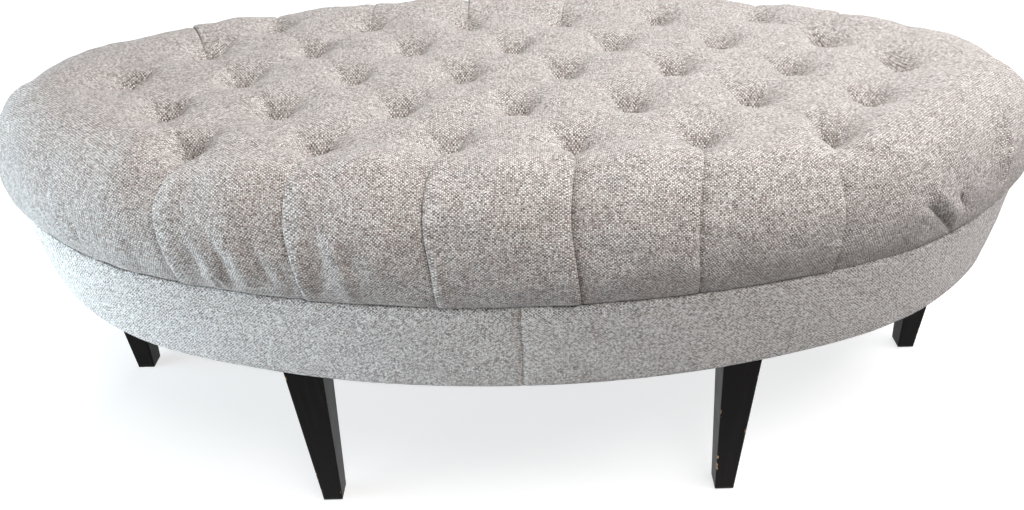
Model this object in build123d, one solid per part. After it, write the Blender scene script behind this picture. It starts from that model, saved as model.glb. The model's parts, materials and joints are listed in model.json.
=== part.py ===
from build123d import *
import math
import os

# Oval upholstered ottoman coffee table with a deep-tufted top on six tapered legs.
# Millimetres. Z is up from the floor, X runs along the oval, Y points away from the viewer.

# Overall sizes
oval_length = 1240.0
oval_width = 580.0
leg_clearance = 245.0
band_height = 114.0
pad_rise = 131.0

# Oval outline: an end arc, a haunch arc and a side arc in each quarter, tangent where they meet
end_radius_share = 1.12
haunch_start_deg = 44.0
side_start_deg = 72.0

# Cloth, padding and the gaps between layers
cloth = 2.0
layer_gap = 0.3
batting_thickness = 10.0
strip_thickness = 1.8
strip_height = 12.0
dust_cloth = 0.8

# Stuffed top
bulge = 5.0
shoulder_radius = 98.0
tuft_pitch_x = 130.0
tuft_pitch_y = 81.0
tuft_row_counts = [6, 7, 8, 7, 6]
pit_depth = 42.0
pit_floor_radius = 5.0
pit_reach = 64.0
puff_lift = 0.6
pleat_depth = 8.0
pleat_half_width = 6.0
skirt_height = 24.0

# Wooden frame
deck_thickness = 15.0
panel_thickness = 4.0
ring_thickness = 18.0
ring_width = 75.0
rail_thickness = 20.0
post_width = 50.0
post_depth = 25.0
block_height = 20.0
block_depth = 36.0
frame_clearance = 0.1

# Legs
leg_top = 43.0
leg_foot = 25.0
leg_edge_radius = 1.5
side_leg_x = 246.0
side_leg_setback = 6.0
side_leg_splay_x = 12.0
side_leg_splay_y = 11.0
end_leg_setback = 28.0
end_leg_splay = 30.0
glide_radius = 10.0
glide_height = 3.0
glide_edge = 0.8
nail_radius = 1.25
nail_length = 12.0

# Leg bolts and their threaded tee nuts
bolt_radius = 4.0
bolt_in_leg = 40.0
bolt_end_chamfer = 1.0
tee_barrel_radius = 5.0
tee_barrel_length = 12.0
tee_flange_radius = 11.0
tee_flange_thickness = 1.5
thread_clearance = 0.05

# Tufting twine and the hole it runs through
twine_radius = 1.0
twine_half_gap = 2.6
twine_bend = 2.4
twine_foot = 18.0
twine_hole_radius = 5.2
cloth_hole_radius = 1.3
twine_lift = 0.2

# Staples
wire_width = 1.2
wire_thickness = 0.7
staple_crown = 10.0
staple_leg = 9.0
rim_staple_spacing = 75.0

# Wood screws
screw_radius = 2.0
screw_head_radius = 4.0
screw_head_depth = 2.6
screw_length = 38.0

# Bottom hem of the band and the cloth under the frame
hem_width = 45.0
dust_inset = 15.0
dust_leg_gap = 2.0

# One overrun serves every cut
overrun = 5.0

half_length = oval_length / 2
half_width = oval_width / 2
seam_z = leg_clearance + band_height
crown_z = seam_z + pad_rise
widest_z = crown_z - shoulder_radius
end_radius = end_radius_share * half_width ** 2 / half_length

# Layers of the band, counted inwards from its outer face
strip_inset = cloth + layer_gap
tail_inset = strip_inset + strip_thickness + layer_gap
skirt_inset = tail_inset + cloth + layer_gap
frame_inset = skirt_inset + cloth + layer_gap
panel_inner_inset = frame_inset + panel_thickness
ring_inner_inset = panel_inner_inset + ring_width

# Heights of the frame
ring_bottom = leg_clearance + cloth
ring_top = ring_bottom + ring_thickness
deck_top = seam_z
deck_bottom = deck_top - deck_thickness
block_top = ring_top + block_height
leg_foot_z = glide_height

# The side of the top curves in from its widest place to the cloth skirt at the seam
side_drop = widest_z - seam_z
side_pull = bulge + skirt_inset
side_curve = (side_drop ** 2 + side_pull ** 2) / (2 * side_pull)
shoulder_inset = shoulder_radius - bulge
core_inset = (shoulder_inset + end_radius) / 2

# Cross rails stand halfway between two columns of tufts, the centre rails between two rows
cross_rail_x = 4.5 * tuft_pitch_x / 2
centre_rail_y = tuft_pitch_y / 2
side_block_half = cross_rail_x - rail_thickness / 2 - side_leg_x


def oval_arcs():
    """Centre x, centre y, radius, start angle and sweep of the eight arcs, from the right end round."""
    first = math.radians(haunch_start_deg)
    second = math.radians(side_start_deg)
    end_centre = half_length - end_radius
    # The three arcs of a quarter meet the two axes: two equations for the haunch and side radii
    along_haunch = math.cos(second) - math.cos(first)
    along_side = -math.cos(second)
    along_sum = -end_centre - end_radius * math.cos(first)
    across_haunch = math.sin(second) - math.sin(first)
    across_side = 1 - math.sin(second)
    across_sum = half_width - end_radius * math.sin(first)
    scale = along_haunch * across_side - along_side * across_haunch
    haunch_radius = (along_sum * across_side - along_side * across_sum) / scale
    side_radius = (along_haunch * across_sum - across_haunch * along_sum) / scale
    haunch_x = end_centre - (haunch_radius - end_radius) * math.cos(first)
    haunch_y = -(haunch_radius - end_radius) * math.sin(first)
    side_y = half_width - side_radius
    end_sweep = 2 * haunch_start_deg
    haunch_sweep = side_start_deg - haunch_start_deg
    side_sweep = 180 - 2 * side_start_deg
    return [
        (end_centre, 0, end_radius, -haunch_start_deg, end_sweep),
        (haunch_x, haunch_y, haunch_radius, haunch_start_deg, haunch_sweep),
        (0, side_y, side_radius, side_start_deg, side_sweep),
        (-haunch_x, haunch_y, haunch_radius, 180 - side_start_deg, haunch_sweep),
        (-end_centre, 0, end_radius, 180 - haunch_start_deg, end_sweep),
        (-haunch_x, -haunch_y, haunch_radius, 180 + haunch_start_deg, haunch_sweep),
        (0, -side_y, side_radius, 180 + side_start_deg, side_sweep),
        (haunch_x, -haunch_y, haunch_radius, 360 - side_start_deg, haunch_sweep),
    ]


def oval_slab(inset, low, high):
    """A flat slab with the oval outline drawn in by inset, from height low to height high."""
    edges = [
        CenterArc((x, y), radius - inset, start, sweep)
        for x, y, radius, start, sweep in oval_arcs()
    ]
    outline = make_face(Wire(edges))
    return Pos(0, 0, low) * extrude(outline, amount=high - low, dir=(0, 0, 1))


def oval_band(outer_inset, inner_inset, low, high):
    """A band between two insets of the oval outline."""
    return oval_slab(outer_inset, low, high) - oval_slab(inner_inset, low - overrun, high + overrun)


def radial_plane(x, y, angle_deg):
    """Upright plane through an arc's centre: local x runs outwards, local y runs up."""
    angle = math.radians(angle_deg)
    outwards = (math.cos(angle), math.sin(angle), 0)
    return Plane(origin=(x, y, 0), x_dir=outwards, z_dir=(math.sin(angle), -math.cos(angle), 0))


def rim_frame(angle_deg, inset):
    """Place on the outline where its normal has the given angle, with local x outwards."""
    for x, y, radius, start, sweep in oval_arcs():
        turned = (angle_deg - start) % 360
        if turned <= sweep:
            angle = math.radians(angle_deg)
            reach = radius - inset
            place = (x + reach * math.cos(angle), y + reach * math.sin(angle), 0)
            return Location(place, (0, 0, angle_deg))
    raise ValueError("no arc holds this angle")


def rim_stations(spacing):
    """Normal angles at about even spacing round the outline, clear of where the arcs meet."""
    angles = []
    for x, y, radius, start, sweep in oval_arcs():
        count = max(1, round(radius * math.radians(sweep) / spacing))
        angles += [start + sweep * (step + 0.5) / count for step in range(count)]
    return angles


def rim_half_width_at(x_place, inset):
    """Half the outline's width at a place along it that lies on the long side arc."""
    x, y, radius, start, sweep = oval_arcs()[2]
    return y + math.sqrt((radius - inset) ** 2 - x_place ** 2)


def box_between(low, high):
    """A box from one corner to the opposite one."""
    size = [high[axis] - low[axis] for axis in range(3)]
    middle = [(high[axis] + low[axis]) / 2 for axis in range(3)]
    return Pos(*middle) * Box(*size)


def rod(radius, low, high):
    """An upright round bar on the Z axis."""
    return Pos(0, 0, low) * Cylinder(radius, high - low, align=(Align.CENTER, Align.CENTER, Align.MIN))


def tuft_places():
    """Centres of the tufts: rows from far to near, each row offset by half a pitch."""
    places = []
    middle_row = (len(tuft_row_counts) - 1) / 2
    for row, count in enumerate(tuft_row_counts):
        y = (middle_row - row) * tuft_pitch_y
        for column in range(count):
            places.append(((column - (count - 1) / 2) * tuft_pitch_x, y))
    return places


def outer_tuft_places():
    """The first and last rows and the ends of the rows between."""
    places = tuft_places()
    widest = {}
    for x, y in places:
        widest[y] = max(widest.get(y, 0), x)
    edge_rows = (max(widest), min(widest))
    return [(x, y) for x, y in places if y in edge_rows or abs(x) == widest[y]]


def pad_profile(radius, inset):
    """Half section of the stuffed top on one arc of the outline, drawn in by inset."""
    side_centre = radius + bulge - side_curve
    shoulder_centre = radius + bulge - shoulder_radius
    seam_angle = math.degrees(math.asin(side_drop / (side_curve - inset)))
    side = CenterArc((side_centre, widest_z), side_curve - inset, -seam_angle, seam_angle)
    shoulder = CenterArc((shoulder_centre, widest_z), shoulder_radius - inset, 0, 90)
    core = radius - core_inset
    top = Line(shoulder @ 1, (core, crown_z - inset))
    inner = Line((core, crown_z - inset), (core, seam_z))
    base = Line((core, seam_z), side @ 0)
    return make_face(Wire([side, shoulder, top, inner, base]))


def pit_cutter(inset):
    """Flared round pit of one tuft, grown by inset all round."""
    puff_radius = ((pit_reach - pit_floor_radius) ** 2 + pit_depth ** 2) / (2 * pit_depth)
    centre_z = crown_z + puff_lift - puff_radius
    radius = puff_radius - inset
    floor_z = crown_z - pit_depth - inset
    drop_angle = math.degrees(math.asin((floor_z - centre_z) / radius))
    flare = CenterArc((pit_reach, centre_z), radius, 90, 90 - drop_angle)
    lip = crown_z + overrun
    rim = Line((pit_reach, lip), flare @ 0)
    floor = Line(flare @ 1, (0, floor_z))
    axis = Line((0, floor_z), (0, lip))
    top = Line((0, lip), (pit_reach, lip))
    section = make_face(Wire([rim, flare, floor, axis, top]))
    return revolve(Plane.XZ * section, axis=Axis.Z)


def pleat_cutter(x, y, inset):
    """V groove that runs from a tuft out over the shoulder and down the side to the seam."""
    for centre_x, centre_y, radius, start, sweep in oval_arcs():
        angle = math.degrees(math.atan2(y - centre_y, x - centre_x))
        if (angle - start) % 360 <= sweep:
            break
    shoulder_start = radius - shoulder_inset
    from_tuft = min(math.hypot(x - centre_x, y - centre_y), shoulder_start - overrun)
    surface = crown_z - inset
    spread = pleat_half_width * (pleat_depth + overrun) / pleat_depth
    notch = [(surface - pleat_depth, 0), (surface + overrun, spread), (surface + overrun, -spread)]
    section = make_face(Polyline([(shoulder_start, up, side) for up, side in notch], close=True))
    over_top = extrude(section, amount=shoulder_start - from_tuft, dir=(-1, 0, 0))
    shoulder_axis = Axis((shoulder_start, widest_z, 0), (0, 0, -1))
    over_shoulder = revolve(section, axis=shoulder_axis, revolution_arc=90)
    # The same notch turned to face outwards at the widest place, then down the side
    widest = radius + bulge - inset
    side_notch = [(widest - pleat_depth, 0), (widest + overrun, spread), (widest + overrun, -spread)]
    side_section = make_face(Polyline([(out, widest_z, side) for out, side in side_notch], close=True))
    side_axis = Axis((radius + bulge - side_curve, widest_z, 0), (0, 0, -1))
    seam_angle = math.degrees(math.asin((side_drop + overrun) / (side_curve - inset)))
    down_side = revolve(side_section, axis=side_axis, revolution_arc=seam_angle)
    plane = radial_plane(centre_x, centre_y, angle)
    return [plane * piece for piece in (over_top, over_shoulder, down_side)]


def pad_form(inset, pleated):
    """The stuffed top drawn in by inset: round shoulder, curved side, tuft pits and pleats."""
    form = oval_slab(core_inset, seam_z, crown_z - inset)
    for x, y, radius, start, sweep in oval_arcs():
        section = radial_plane(x, y, start) * pad_profile(radius, inset)
        form += revolve(section, axis=Axis((x, y, 0), (0, 0, 1)), revolution_arc=sweep)
    pit = pit_cutter(inset)
    form = form - [Pos(x, y, 0) * pit for x, y in tuft_places()]
    if pleated:
        # The pleats are cut one after another, because those of one tuft share its pit's lip
        for x, y in outer_tuft_places():
            for cutter in pleat_cutter(x, y, inset):
                form = form - cutter
    return form


def twine_passages(low, high):
    """Needle holes through a layer, one under each tuft."""
    hole = rod(twine_hole_radius, low, high)
    return [Pos(x, y, 0) * hole for x, y in tuft_places()]


def foam_pad():
    """Upholstery foam with its tufting holes."""
    inset = cloth + layer_gap + batting_thickness + layer_gap
    return pad_form(inset, False) - twine_passages(seam_z - overrun, crown_z + overrun)


def batting():
    """Polyester wadding between the foam and the cloth."""
    outer = cloth + layer_gap
    layer = pad_form(outer, True) - pad_form(outer + batting_thickness, False)
    return layer - twine_passages(seam_z - overrun, crown_z + overrun)


def tufted_cover():
    """The cloth of the top, with its skirt pulled down over the deck's edge."""
    shell = pad_form(0, True) - pad_form(cloth, True)
    skirt = oval_band(skirt_inset, skirt_inset + cloth, seam_z - skirt_height, seam_z)
    stitch = rod(cloth_hole_radius, seam_z, crown_z)
    stitches = []
    for x, y in tuft_places():
        stitches += [Pos(x + side * twine_half_gap, y, 0) * stitch for side in (-1, 1)]
    return (shell + skirt) - stitches


def tufting_twine():
    """Twine from the cloth in each pit down through the deck, its two tails laid along the underside."""
    top_z = crown_z - pit_depth + twine_bend + twine_lift
    under_z = deck_bottom - twine_radius - layer_gap
    tail = twine_half_gap + twine_foot
    route = FilletPolyline(
        (-tail, under_z),
        (-twine_half_gap, under_z),
        (-twine_half_gap, top_z),
        (twine_half_gap, top_z),
        (twine_half_gap, under_z),
        (tail, under_z),
        radius=twine_bend,
    )
    path = Plane.XZ * route
    section = Plane(origin=path @ 0, z_dir=path % 0) * Circle(twine_radius)
    strand = sweep(section, path=path)
    return [Pos(x, y, 0) * strand for x, y in tuft_places()]


def staple():
    """Wire staple: crown along Y just under the XY plane, legs pointing up."""
    crown = Pos(0, 0, -wire_thickness / 2) * Box(wire_width, staple_crown, wire_thickness)
    leg_y = (staple_crown - wire_thickness) / 2
    leg = Pos(0, 0, staple_leg / 2) * Box(wire_width, wire_thickness, staple_leg)
    return crown + Pos(0, leg_y, 0) * leg + Pos(0, -leg_y, 0) * leg


def twine_staples():
    """One staple over each tail of each twine."""
    crown_top = deck_bottom - 2 * twine_radius - 2 * layer_gap
    reach = twine_half_gap + twine_foot / 2
    return [
        Pos(x + side * reach, y, crown_top) * staple()
        for x, y in tuft_places()
        for side in (-1, 1)
    ]


def rim_staples(inset, height):
    """Staples driven inwards all round the deck's edge, crown flush at the given inset."""
    turned = Rot(0, -90, 0) * Rot(0, 0, 90) * staple()
    return [
        rim_frame(angle, inset) * Pos(-wire_thickness, 0, height) * Rot(90, 0, 0) * turned
        for angle in rim_stations(rim_staple_spacing)
    ]


def under_staples(inset, crown_top):
    """Staples driven up into the bottom ring all round, clear of the legs."""
    placed = []
    for angle in rim_stations(rim_staple_spacing):
        place = rim_frame(angle, inset)
        spot = place.position
        leg_room = leg_top / 2 + staple_crown
        near_leg = any(
            abs(spot.X - x) < leg_room and abs(spot.Y - y) < leg_room
            for x, y in [leg[1:3] for leg in leg_table()]
        )
        if not near_leg:
            placed.append(place * Pos(0, 0, crown_top) * staple())
    return placed


def leg_table():
    """Name, top centre and outward splay of each leg."""
    side_y = rim_half_width_at(side_leg_x, 0) - side_leg_setback - leg_top / 2
    end_x = half_length - end_leg_setback - leg_top / 2
    legs = []
    for side, front in ((-1, -1), (1, -1), (-1, 1), (1, 1)):
        name = ("front" if front < 0 else "back") + ("_left" if side < 0 else "_right")
        splay = (side * side_leg_splay_x, front * side_leg_splay_y)
        legs.append((name, side * side_leg_x, front * side_y, *splay))
    legs.append(("left_end", -end_x, 0, -end_leg_splay, 0))
    legs.append(("right_end", end_x, 0, end_leg_splay, 0))
    return legs


def leg(x, y, splay_x, splay_y):
    """Square leg that tapers and leans outwards, drilled for its bolt and its glide's nail."""
    top = Pos(x, y, leg_clearance) * Rectangle(leg_top, leg_top)
    foot = Pos(x + splay_x, y + splay_y, leg_foot_z) * Rectangle(leg_foot, leg_foot)
    body = loft([foot, top], ruled=True)
    arrises = body.edges().filter_by(lambda edge: edge.length > leg_clearance / 2)
    body = fillet(arrises, leg_edge_radius)
    bolt_hole = rod(bolt_radius + thread_clearance, leg_clearance - bolt_in_leg, leg_clearance + overrun)
    nail_hole = rod(nail_radius + thread_clearance, 0, leg_foot_z + nail_length)
    return body - Pos(x, y, 0) * bolt_hole - Pos(x + splay_x, y + splay_y, 0) * nail_hole


def leg_glides():
    """Nylon glide with a nail under each foot."""
    disc = rod(glide_radius, 0, glide_height)
    disc = chamfer(disc.edges().group_by(Axis.Z)[0], glide_edge)
    glide = disc + rod(nail_radius, glide_height, glide_height + nail_length - thread_clearance)
    return [Pos(x + splay_x, y + splay_y, 0) * glide for name, x, y, splay_x, splay_y in leg_table()]


def hanger_bolts():
    """Bolt screwed into the top of each leg, its upper end in the tee nut."""
    shank = rod(bolt_radius, leg_clearance - bolt_in_leg, block_top)
    shank = chamfer(shank.edges().filter_by(GeomType.CIRCLE), bolt_end_chamfer)
    return [Pos(x, y, 0) * shank for name, x, y, splay_x, splay_y in leg_table()]


def tee_nuts():
    """Flanged threaded insert let into the top of each leg block."""
    barrel = rod(tee_barrel_radius, block_top - tee_barrel_length, block_top)
    flange = rod(tee_flange_radius, block_top, block_top + tee_flange_thickness)
    bore_bottom = block_top - tee_barrel_length - overrun
    bore = rod(bolt_radius + thread_clearance, bore_bottom, block_top + tee_flange_thickness + overrun)
    nut = (barrel + flange) - bore
    return [Pos(x, y, 0) * nut for name, x, y, splay_x, splay_y in leg_table()]


def bolt_holes():
    """Holes for the tee nut barrels and bolts, through the ring, the blocks and the band's hem."""
    hole = rod(tee_barrel_radius + frame_clearance, leg_clearance - overrun, block_top + overrun)
    return [Pos(x, y, 0) * hole for name, x, y, splay_x, splay_y in leg_table()]


def leg_blocks():
    """Block glued on the ring over each leg, cut to the curve of the side panel."""
    inside = oval_slab(panel_inner_inset, ring_top, block_top)
    blocks = {}
    for name, x, y, splay_x, splay_y in leg_table():
        if y == 0:
            outer = math.copysign(half_length, x)
            inner = x - math.copysign(block_depth, x)
            low = (min(outer, inner), -side_block_half, ring_top)
            high = (max(outer, inner), side_block_half, block_top)
        else:
            outer = math.copysign(half_width, y)
            inner = y - math.copysign(block_depth, y)
            low = (x - side_block_half, min(outer, inner), ring_top)
            high = (x + side_block_half, max(outer, inner), block_top)
        blocks["leg_block_" + name] = (box_between(low, high) & inside) - bolt_holes()
    return blocks


def post_angles():
    """Normal angles of the upright posts: both ends, the middle of both sides and where the arcs meet."""
    angles = [0, 90, 180, 270]
    for joint in (haunch_start_deg, side_start_deg):
        angles += [joint, 180 - joint, 180 + joint, 360 - joint]
    return sorted(angles)


def post_base(angle):
    """The end posts stand on the leg blocks, the others on the ring."""
    return block_top if angle in (0, 180) else ring_top


def spacer_posts():
    """Upright posts between the ring and the deck, shaped to the side panel."""
    inside = oval_slab(panel_inner_inset, ring_top, deck_bottom)
    posts = {}
    for number, angle in enumerate(post_angles(), start=1):
        base = post_base(angle)
        low = (-post_depth, -post_width / 2, base)
        high = (overrun, post_width / 2, deck_bottom)
        blank = rim_frame(angle, panel_inner_inset) * box_between(low, high)
        posts[f"spacer_post_{number:02d}"] = blank & inside
    return posts


def cross_rails():
    """Boards on edge from front to back, under the deck."""
    inside = oval_slab(panel_inner_inset, ring_top, deck_bottom)
    half = rail_thickness / 2
    rails = {}
    for name, x in (("left", -cross_rail_x), ("right", cross_rail_x)):
        low = (x - half, -half_width, ring_top)
        high = (x + half, half_width, deck_bottom)
        rails["cross_rail_" + name] = box_between(low, high) & inside
    return rails


def centre_rails():
    """Boards on edge between the cross rails."""
    half = rail_thickness / 2
    reach = cross_rail_x - half
    rails = {}
    for name, y in (("front", -centre_rail_y), ("back", centre_rail_y)):
        low = (-reach, y - half, ring_top)
        high = (reach, y + half, deck_bottom)
        rails["centre_rail_" + name] = box_between(low, high)
    return rails


def wood_screw(grown):
    """Countersunk screw pointing down from the XY plane, or its hole when grown."""
    head = Cone(screw_radius + grown, screw_head_radius + grown, screw_head_depth)
    head = Pos(0, 0, -screw_head_depth / 2) * head
    return head + rod(screw_radius + grown, -screw_length - grown, -screw_head_depth)


def deck_screw_places():
    """Screws down through the deck into the posts, the cross rails and the centre rails."""
    places = []
    for angle in post_angles():
        spot = rim_frame(angle, panel_inner_inset + post_depth / 2).position
        places.append((spot.X, spot.Y))
    for side in (-1, 1):
        places += [(side * cross_rail_x, row * tuft_pitch_y) for row in (-2.5, -0.5, 0.5, 2.5)]
        places += [(column * tuft_pitch_x / 2, side * centre_rail_y) for column in (-2.5, 0.5, 2.5)]
    return places


def ring_screw_places():
    """Screws up through the ring into the posts that stand on it and into the cross rails."""
    places = []
    for angle in post_angles():
        if post_base(angle) == ring_top:
            spot = rim_frame(angle, panel_inner_inset + post_depth / 2).position
            places.append((spot.X, spot.Y))
    rail_end = rim_half_width_at(cross_rail_x, panel_inner_inset + ring_width / 2)
    for side in (-1, 1):
        places += [(side * cross_rail_x, end * rail_end) for end in (-1, 1)]
    return places


def deck_screws(grown):
    """The screws in the top of the deck, or their holes when grown."""
    screw = wood_screw(grown)
    return [Pos(x, y, deck_top) * screw for x, y in deck_screw_places()]


def ring_screws(grown):
    """The screws in the underside of the ring, or their holes when grown."""
    screw = Rot(180, 0, 0) * wood_screw(grown)
    return [Pos(x, y, ring_bottom) * screw for x, y in ring_screw_places()]


def deck():
    """Oval plywood deck with a hole for the twine of each tuft."""
    board = oval_slab(frame_inset, deck_bottom, deck_top)
    return board - twine_passages(deck_bottom - overrun, deck_top + overrun) - deck_screws(frame_clearance)


def bottom_ring():
    """Plywood ring under the frame, sawn in four and butted under the posts at the arcs' joints."""
    ring = oval_band(panel_inner_inset, ring_inner_inset, ring_bottom, ring_top)
    ring = ring - bolt_holes() - ring_screws(frame_clearance)
    cut_x = rim_frame(side_start_deg, panel_inner_inset).position.X
    low = ring_bottom - overrun
    high = ring_top + overrun
    far_x = oval_length
    far_y = oval_width
    quarters = {
        "ring_front": box_between((-cut_x, -far_y, low), (cut_x, 0, high)),
        "ring_back": box_between((-cut_x, 0, low), (cut_x, far_y, high)),
        "ring_left": box_between((-far_x, -far_y, low), (-cut_x, far_y, high)),
        "ring_right": box_between((cut_x, -far_y, low), (far_x, far_y, high)),
    }
    return {name: ring & part for name, part in quarters.items()}


def side_panels():
    """Bendable plywood skins round the frame, front and back, butted on the end posts."""
    skin = oval_band(frame_inset, panel_inner_inset, ring_bottom, deck_bottom)
    reach = oval_length
    low = ring_bottom - overrun
    high = deck_bottom + overrun
    front = box_between((-reach, -reach, low), (reach, 0, high))
    back = box_between((-reach, 0, low), (reach, reach, high))
    return {"side_panel_front": skin & front, "side_panel_back": skin & back}


def tack_strip():
    """Cardboard strip that holds the folded top edge of the band."""
    top = seam_z - cloth - layer_gap
    return oval_band(strip_inset, strip_inset + strip_thickness, top - strip_height, top)


def band_padding():
    """Thin wadding under the band's cloth, below the skirt of the top."""
    top = seam_z - skirt_height - layer_gap
    return oval_band(strip_inset, frame_inset - layer_gap, ring_bottom, top)


def band_covers():
    """The cloth of the band in two lengths, sewn together at the middle of the front and the back."""
    face = oval_band(0, cloth, leg_clearance, seam_z)
    fold = oval_band(0, tail_inset + cloth, seam_z - cloth, seam_z)
    tail = oval_band(tail_inset, tail_inset + cloth, seam_z - cloth - layer_gap - strip_height, seam_z)
    hem = oval_band(0, hem_width, leg_clearance, ring_bottom)
    cloth_ring = (face + fold + tail + hem) - bolt_holes()
    reach = oval_length
    low = leg_clearance - overrun
    high = seam_z + overrun
    left = box_between((-reach, -reach, low), (0, reach, high))
    right = box_between((0, -reach, low), (reach, reach, high))
    return {"band_cover_left": cloth_ring & left, "band_cover_right": cloth_ring & right}


def dust_cover():
    """Thin cloth that closes the underside, cut out round the legs."""
    sheet = oval_slab(dust_inset, leg_clearance - dust_cloth, leg_clearance)
    room = leg_top + 2 * dust_leg_gap
    cuts = []
    for name, x, y, splay_x, splay_y in leg_table():
        cuts.append(Pos(x, y, leg_clearance) * Box(room, room, overrun))
    return sheet - cuts


def all_nodes():
    """Every node of the ottoman by name."""
    nodes = {
        "foam_pad": foam_pad(),
        "batting": batting(),
        "tufted_cover": tufted_cover(),
        "tufting_twine": tufting_twine(),
        "twine_staples": twine_staples(),
        "cover_staples": rim_staples(skirt_inset, seam_z - skirt_height / 2),
        "strip_staples": rim_staples(strip_inset, seam_z - cloth - strip_height / 2),
        "hem_staples": under_staples(hem_width - staple_crown, leg_clearance + wire_thickness),
        "dust_staples": under_staples(dust_inset + staple_crown, leg_clearance - dust_cloth + wire_thickness),
        "deck": deck(),
        "deck_screws": deck_screws(0),
        "ring_screws": ring_screws(0),
        "tack_strip": tack_strip(),
        "band_padding": band_padding(),
        "dust_cover": dust_cover(),
        "leg_glides": leg_glides(),
        "hanger_bolts": hanger_bolts(),
        "tee_nuts": tee_nuts(),
    }
    nodes.update(bottom_ring())
    nodes.update(side_panels())
    nodes.update(band_covers())
    nodes.update(leg_blocks())
    holes = deck_screws(frame_clearance) + ring_screws(frame_clearance)
    for timbers in (spacer_posts(), cross_rails(), centre_rails()):
        for name, timber in timbers.items():
            nodes[name] = timber - holes
    for name, x, y, splay_x, splay_y in leg_table():
        nodes["leg_" + name] = leg(x, y, splay_x, splay_y)
    return nodes


def main():
    os.makedirs("parts", exist_ok=True)
    for name, shape in all_nodes().items():
        solids = []
        for item in shape if isinstance(shape, (list, tuple)) else [shape]:
            solids += list(item.solids())
        whole = solids[0] if len(solids) == 1 else Compound(children=solids)
        export_step(whole, f"parts/{name}.step")
        print(name, len(solids))


if __name__ == "__main__":
    main()
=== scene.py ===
import json
import math

import bpy
import numpy as np
from mathutils import Matrix, Vector
from mathutils.geometry import delaunay_2d_cdt


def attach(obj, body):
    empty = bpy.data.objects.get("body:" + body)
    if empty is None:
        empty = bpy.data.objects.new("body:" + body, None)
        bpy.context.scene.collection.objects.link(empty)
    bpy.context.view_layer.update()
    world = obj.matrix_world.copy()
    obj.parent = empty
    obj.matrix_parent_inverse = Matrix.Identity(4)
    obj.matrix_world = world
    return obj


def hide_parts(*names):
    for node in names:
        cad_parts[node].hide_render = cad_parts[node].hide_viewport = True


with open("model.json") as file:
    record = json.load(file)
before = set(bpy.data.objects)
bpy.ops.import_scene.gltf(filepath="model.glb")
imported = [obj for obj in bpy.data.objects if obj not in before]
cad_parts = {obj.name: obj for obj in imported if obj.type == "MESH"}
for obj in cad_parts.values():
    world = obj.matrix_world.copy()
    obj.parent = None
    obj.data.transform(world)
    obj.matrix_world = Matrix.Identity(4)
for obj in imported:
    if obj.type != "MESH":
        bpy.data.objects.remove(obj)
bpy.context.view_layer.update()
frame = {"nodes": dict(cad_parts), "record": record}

# Shapes are worked out in millimetres, as the frame was, and turned into metres with their meshes.
MM = 0.001

# Oval outline of the seam: an end arc, a haunch arc and a side arc in each quarter
HALF_LENGTH = 620.0
HALF_WIDTH = 290.0
END_RADIUS_SHARE = 1.12
HAUNCH_START = math.radians(44.0)
SIDE_START = math.radians(72.0)

# Heights
CLEARANCE = 245.0
SEAM_Z = 359.0
CROWN_Z = 490.0

# Section of the stuffed top: a shoulder arc, then a tighter arc that draws in to the seam
BULGE = 5.0
SHOULDER_RADIUS = 98.0
SEAM_INSET = 6.7
WIDEST_Z = CROWN_Z - SHOULDER_RADIUS
SIDE_DROP = WIDEST_Z - SEAM_Z
SIDE_RADIUS = (SIDE_DROP ** 2 + (BULGE + SEAM_INSET) ** 2) / (2 * (BULGE + SEAM_INSET))
SHOULDER_INSET = SHOULDER_RADIUS - BULGE
SHOULDER_LENGTH = SHOULDER_RADIUS * math.pi / 2
CLOTH_DROP = SHOULDER_LENGTH + SIDE_RADIUS * math.asin(SIDE_DROP / SIDE_RADIUS)
SEAM_OFFSET = CLOTH_DROP - SHOULDER_INSET

# Tufts: rows from far to near, each offset by half a pitch
TUFT_PITCH_X = 130.0
TUFT_PITCH_Y = 81.0
TUFT_ROWS = (6, 7, 8, 7, 6)

# How far each pit is moved off the even grid to meet the photo, right and away, row by row from
# far to near. The moves are held to 9 mm along and 11 mm across.
TUFT_SHIFTS = (
    (-2, -9), (-5, -11), (-4, -11), (-9, -11), (-6, -11), (1, -11),
    (-2, -11), (0, -11), (-5, -11), (-8, -11), (-9, -11), (-5, -11), (0, -11),
    (-4, -8), (-2, -10), (-1, -11), (-1, -11), (-9, -5), (-9, -2), (0, -9), (3, -3),
    (5, -10), (-4, -11), (-1, -11), (0, -10), (-5, -11), (1, -3), (-1, -11),
    (-9, -9), (-7, -11), (-5, -11), (-8, -11), (-9, -11), (-1, -11),
)

# Pits of the tufts, and how far the whole middle lies under the rim
PIT_DEPTH = 40.6
PIT_SPREAD = 14.0
PIT_POWER = 1.05
MIDDLE_DROP = 4.5

# Small folds that gather in a ring round each tuft: height, radius and width of the ring
PUCKER_SEED = 8
PUCKER_HEIGHT = 1.4
PUCKER_REACH = 17.0
PUCKER_WIDTH = 11.0
PUCKER_LIMIT = 60.0

# Puffs in front of each tuft, which hide the floor of its pit: right, away, half width and depth.
# In the nearest row a pleat runs down from the tuft, so a puff stands on each side of it.
LIP_HEIGHT = 3.4
LIPS = ((0.0, -15.0, 20.0, 8.0),)
NEAR_LIPS = ((-17.0, -12.0, 13.0, 9.0), (17.0, -12.0, 13.0, 9.0))

# Creases from tuft to tuft: depth all along, what the near and the far tuft add to it, width
# and how much narrower they end, rounding of their floor, and how far they reach
CREASE_DEPTH = 1.6
CREASE_NEAR_DEPTH = 20.0
CREASE_FAR_DEPTH = 6.0
CREASE_WIDTH = 12.0
CREASE_NARROWING = 6.5
CREASE_ROUNDING = 0.8
CREASE_LIMIT = 34.0

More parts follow.
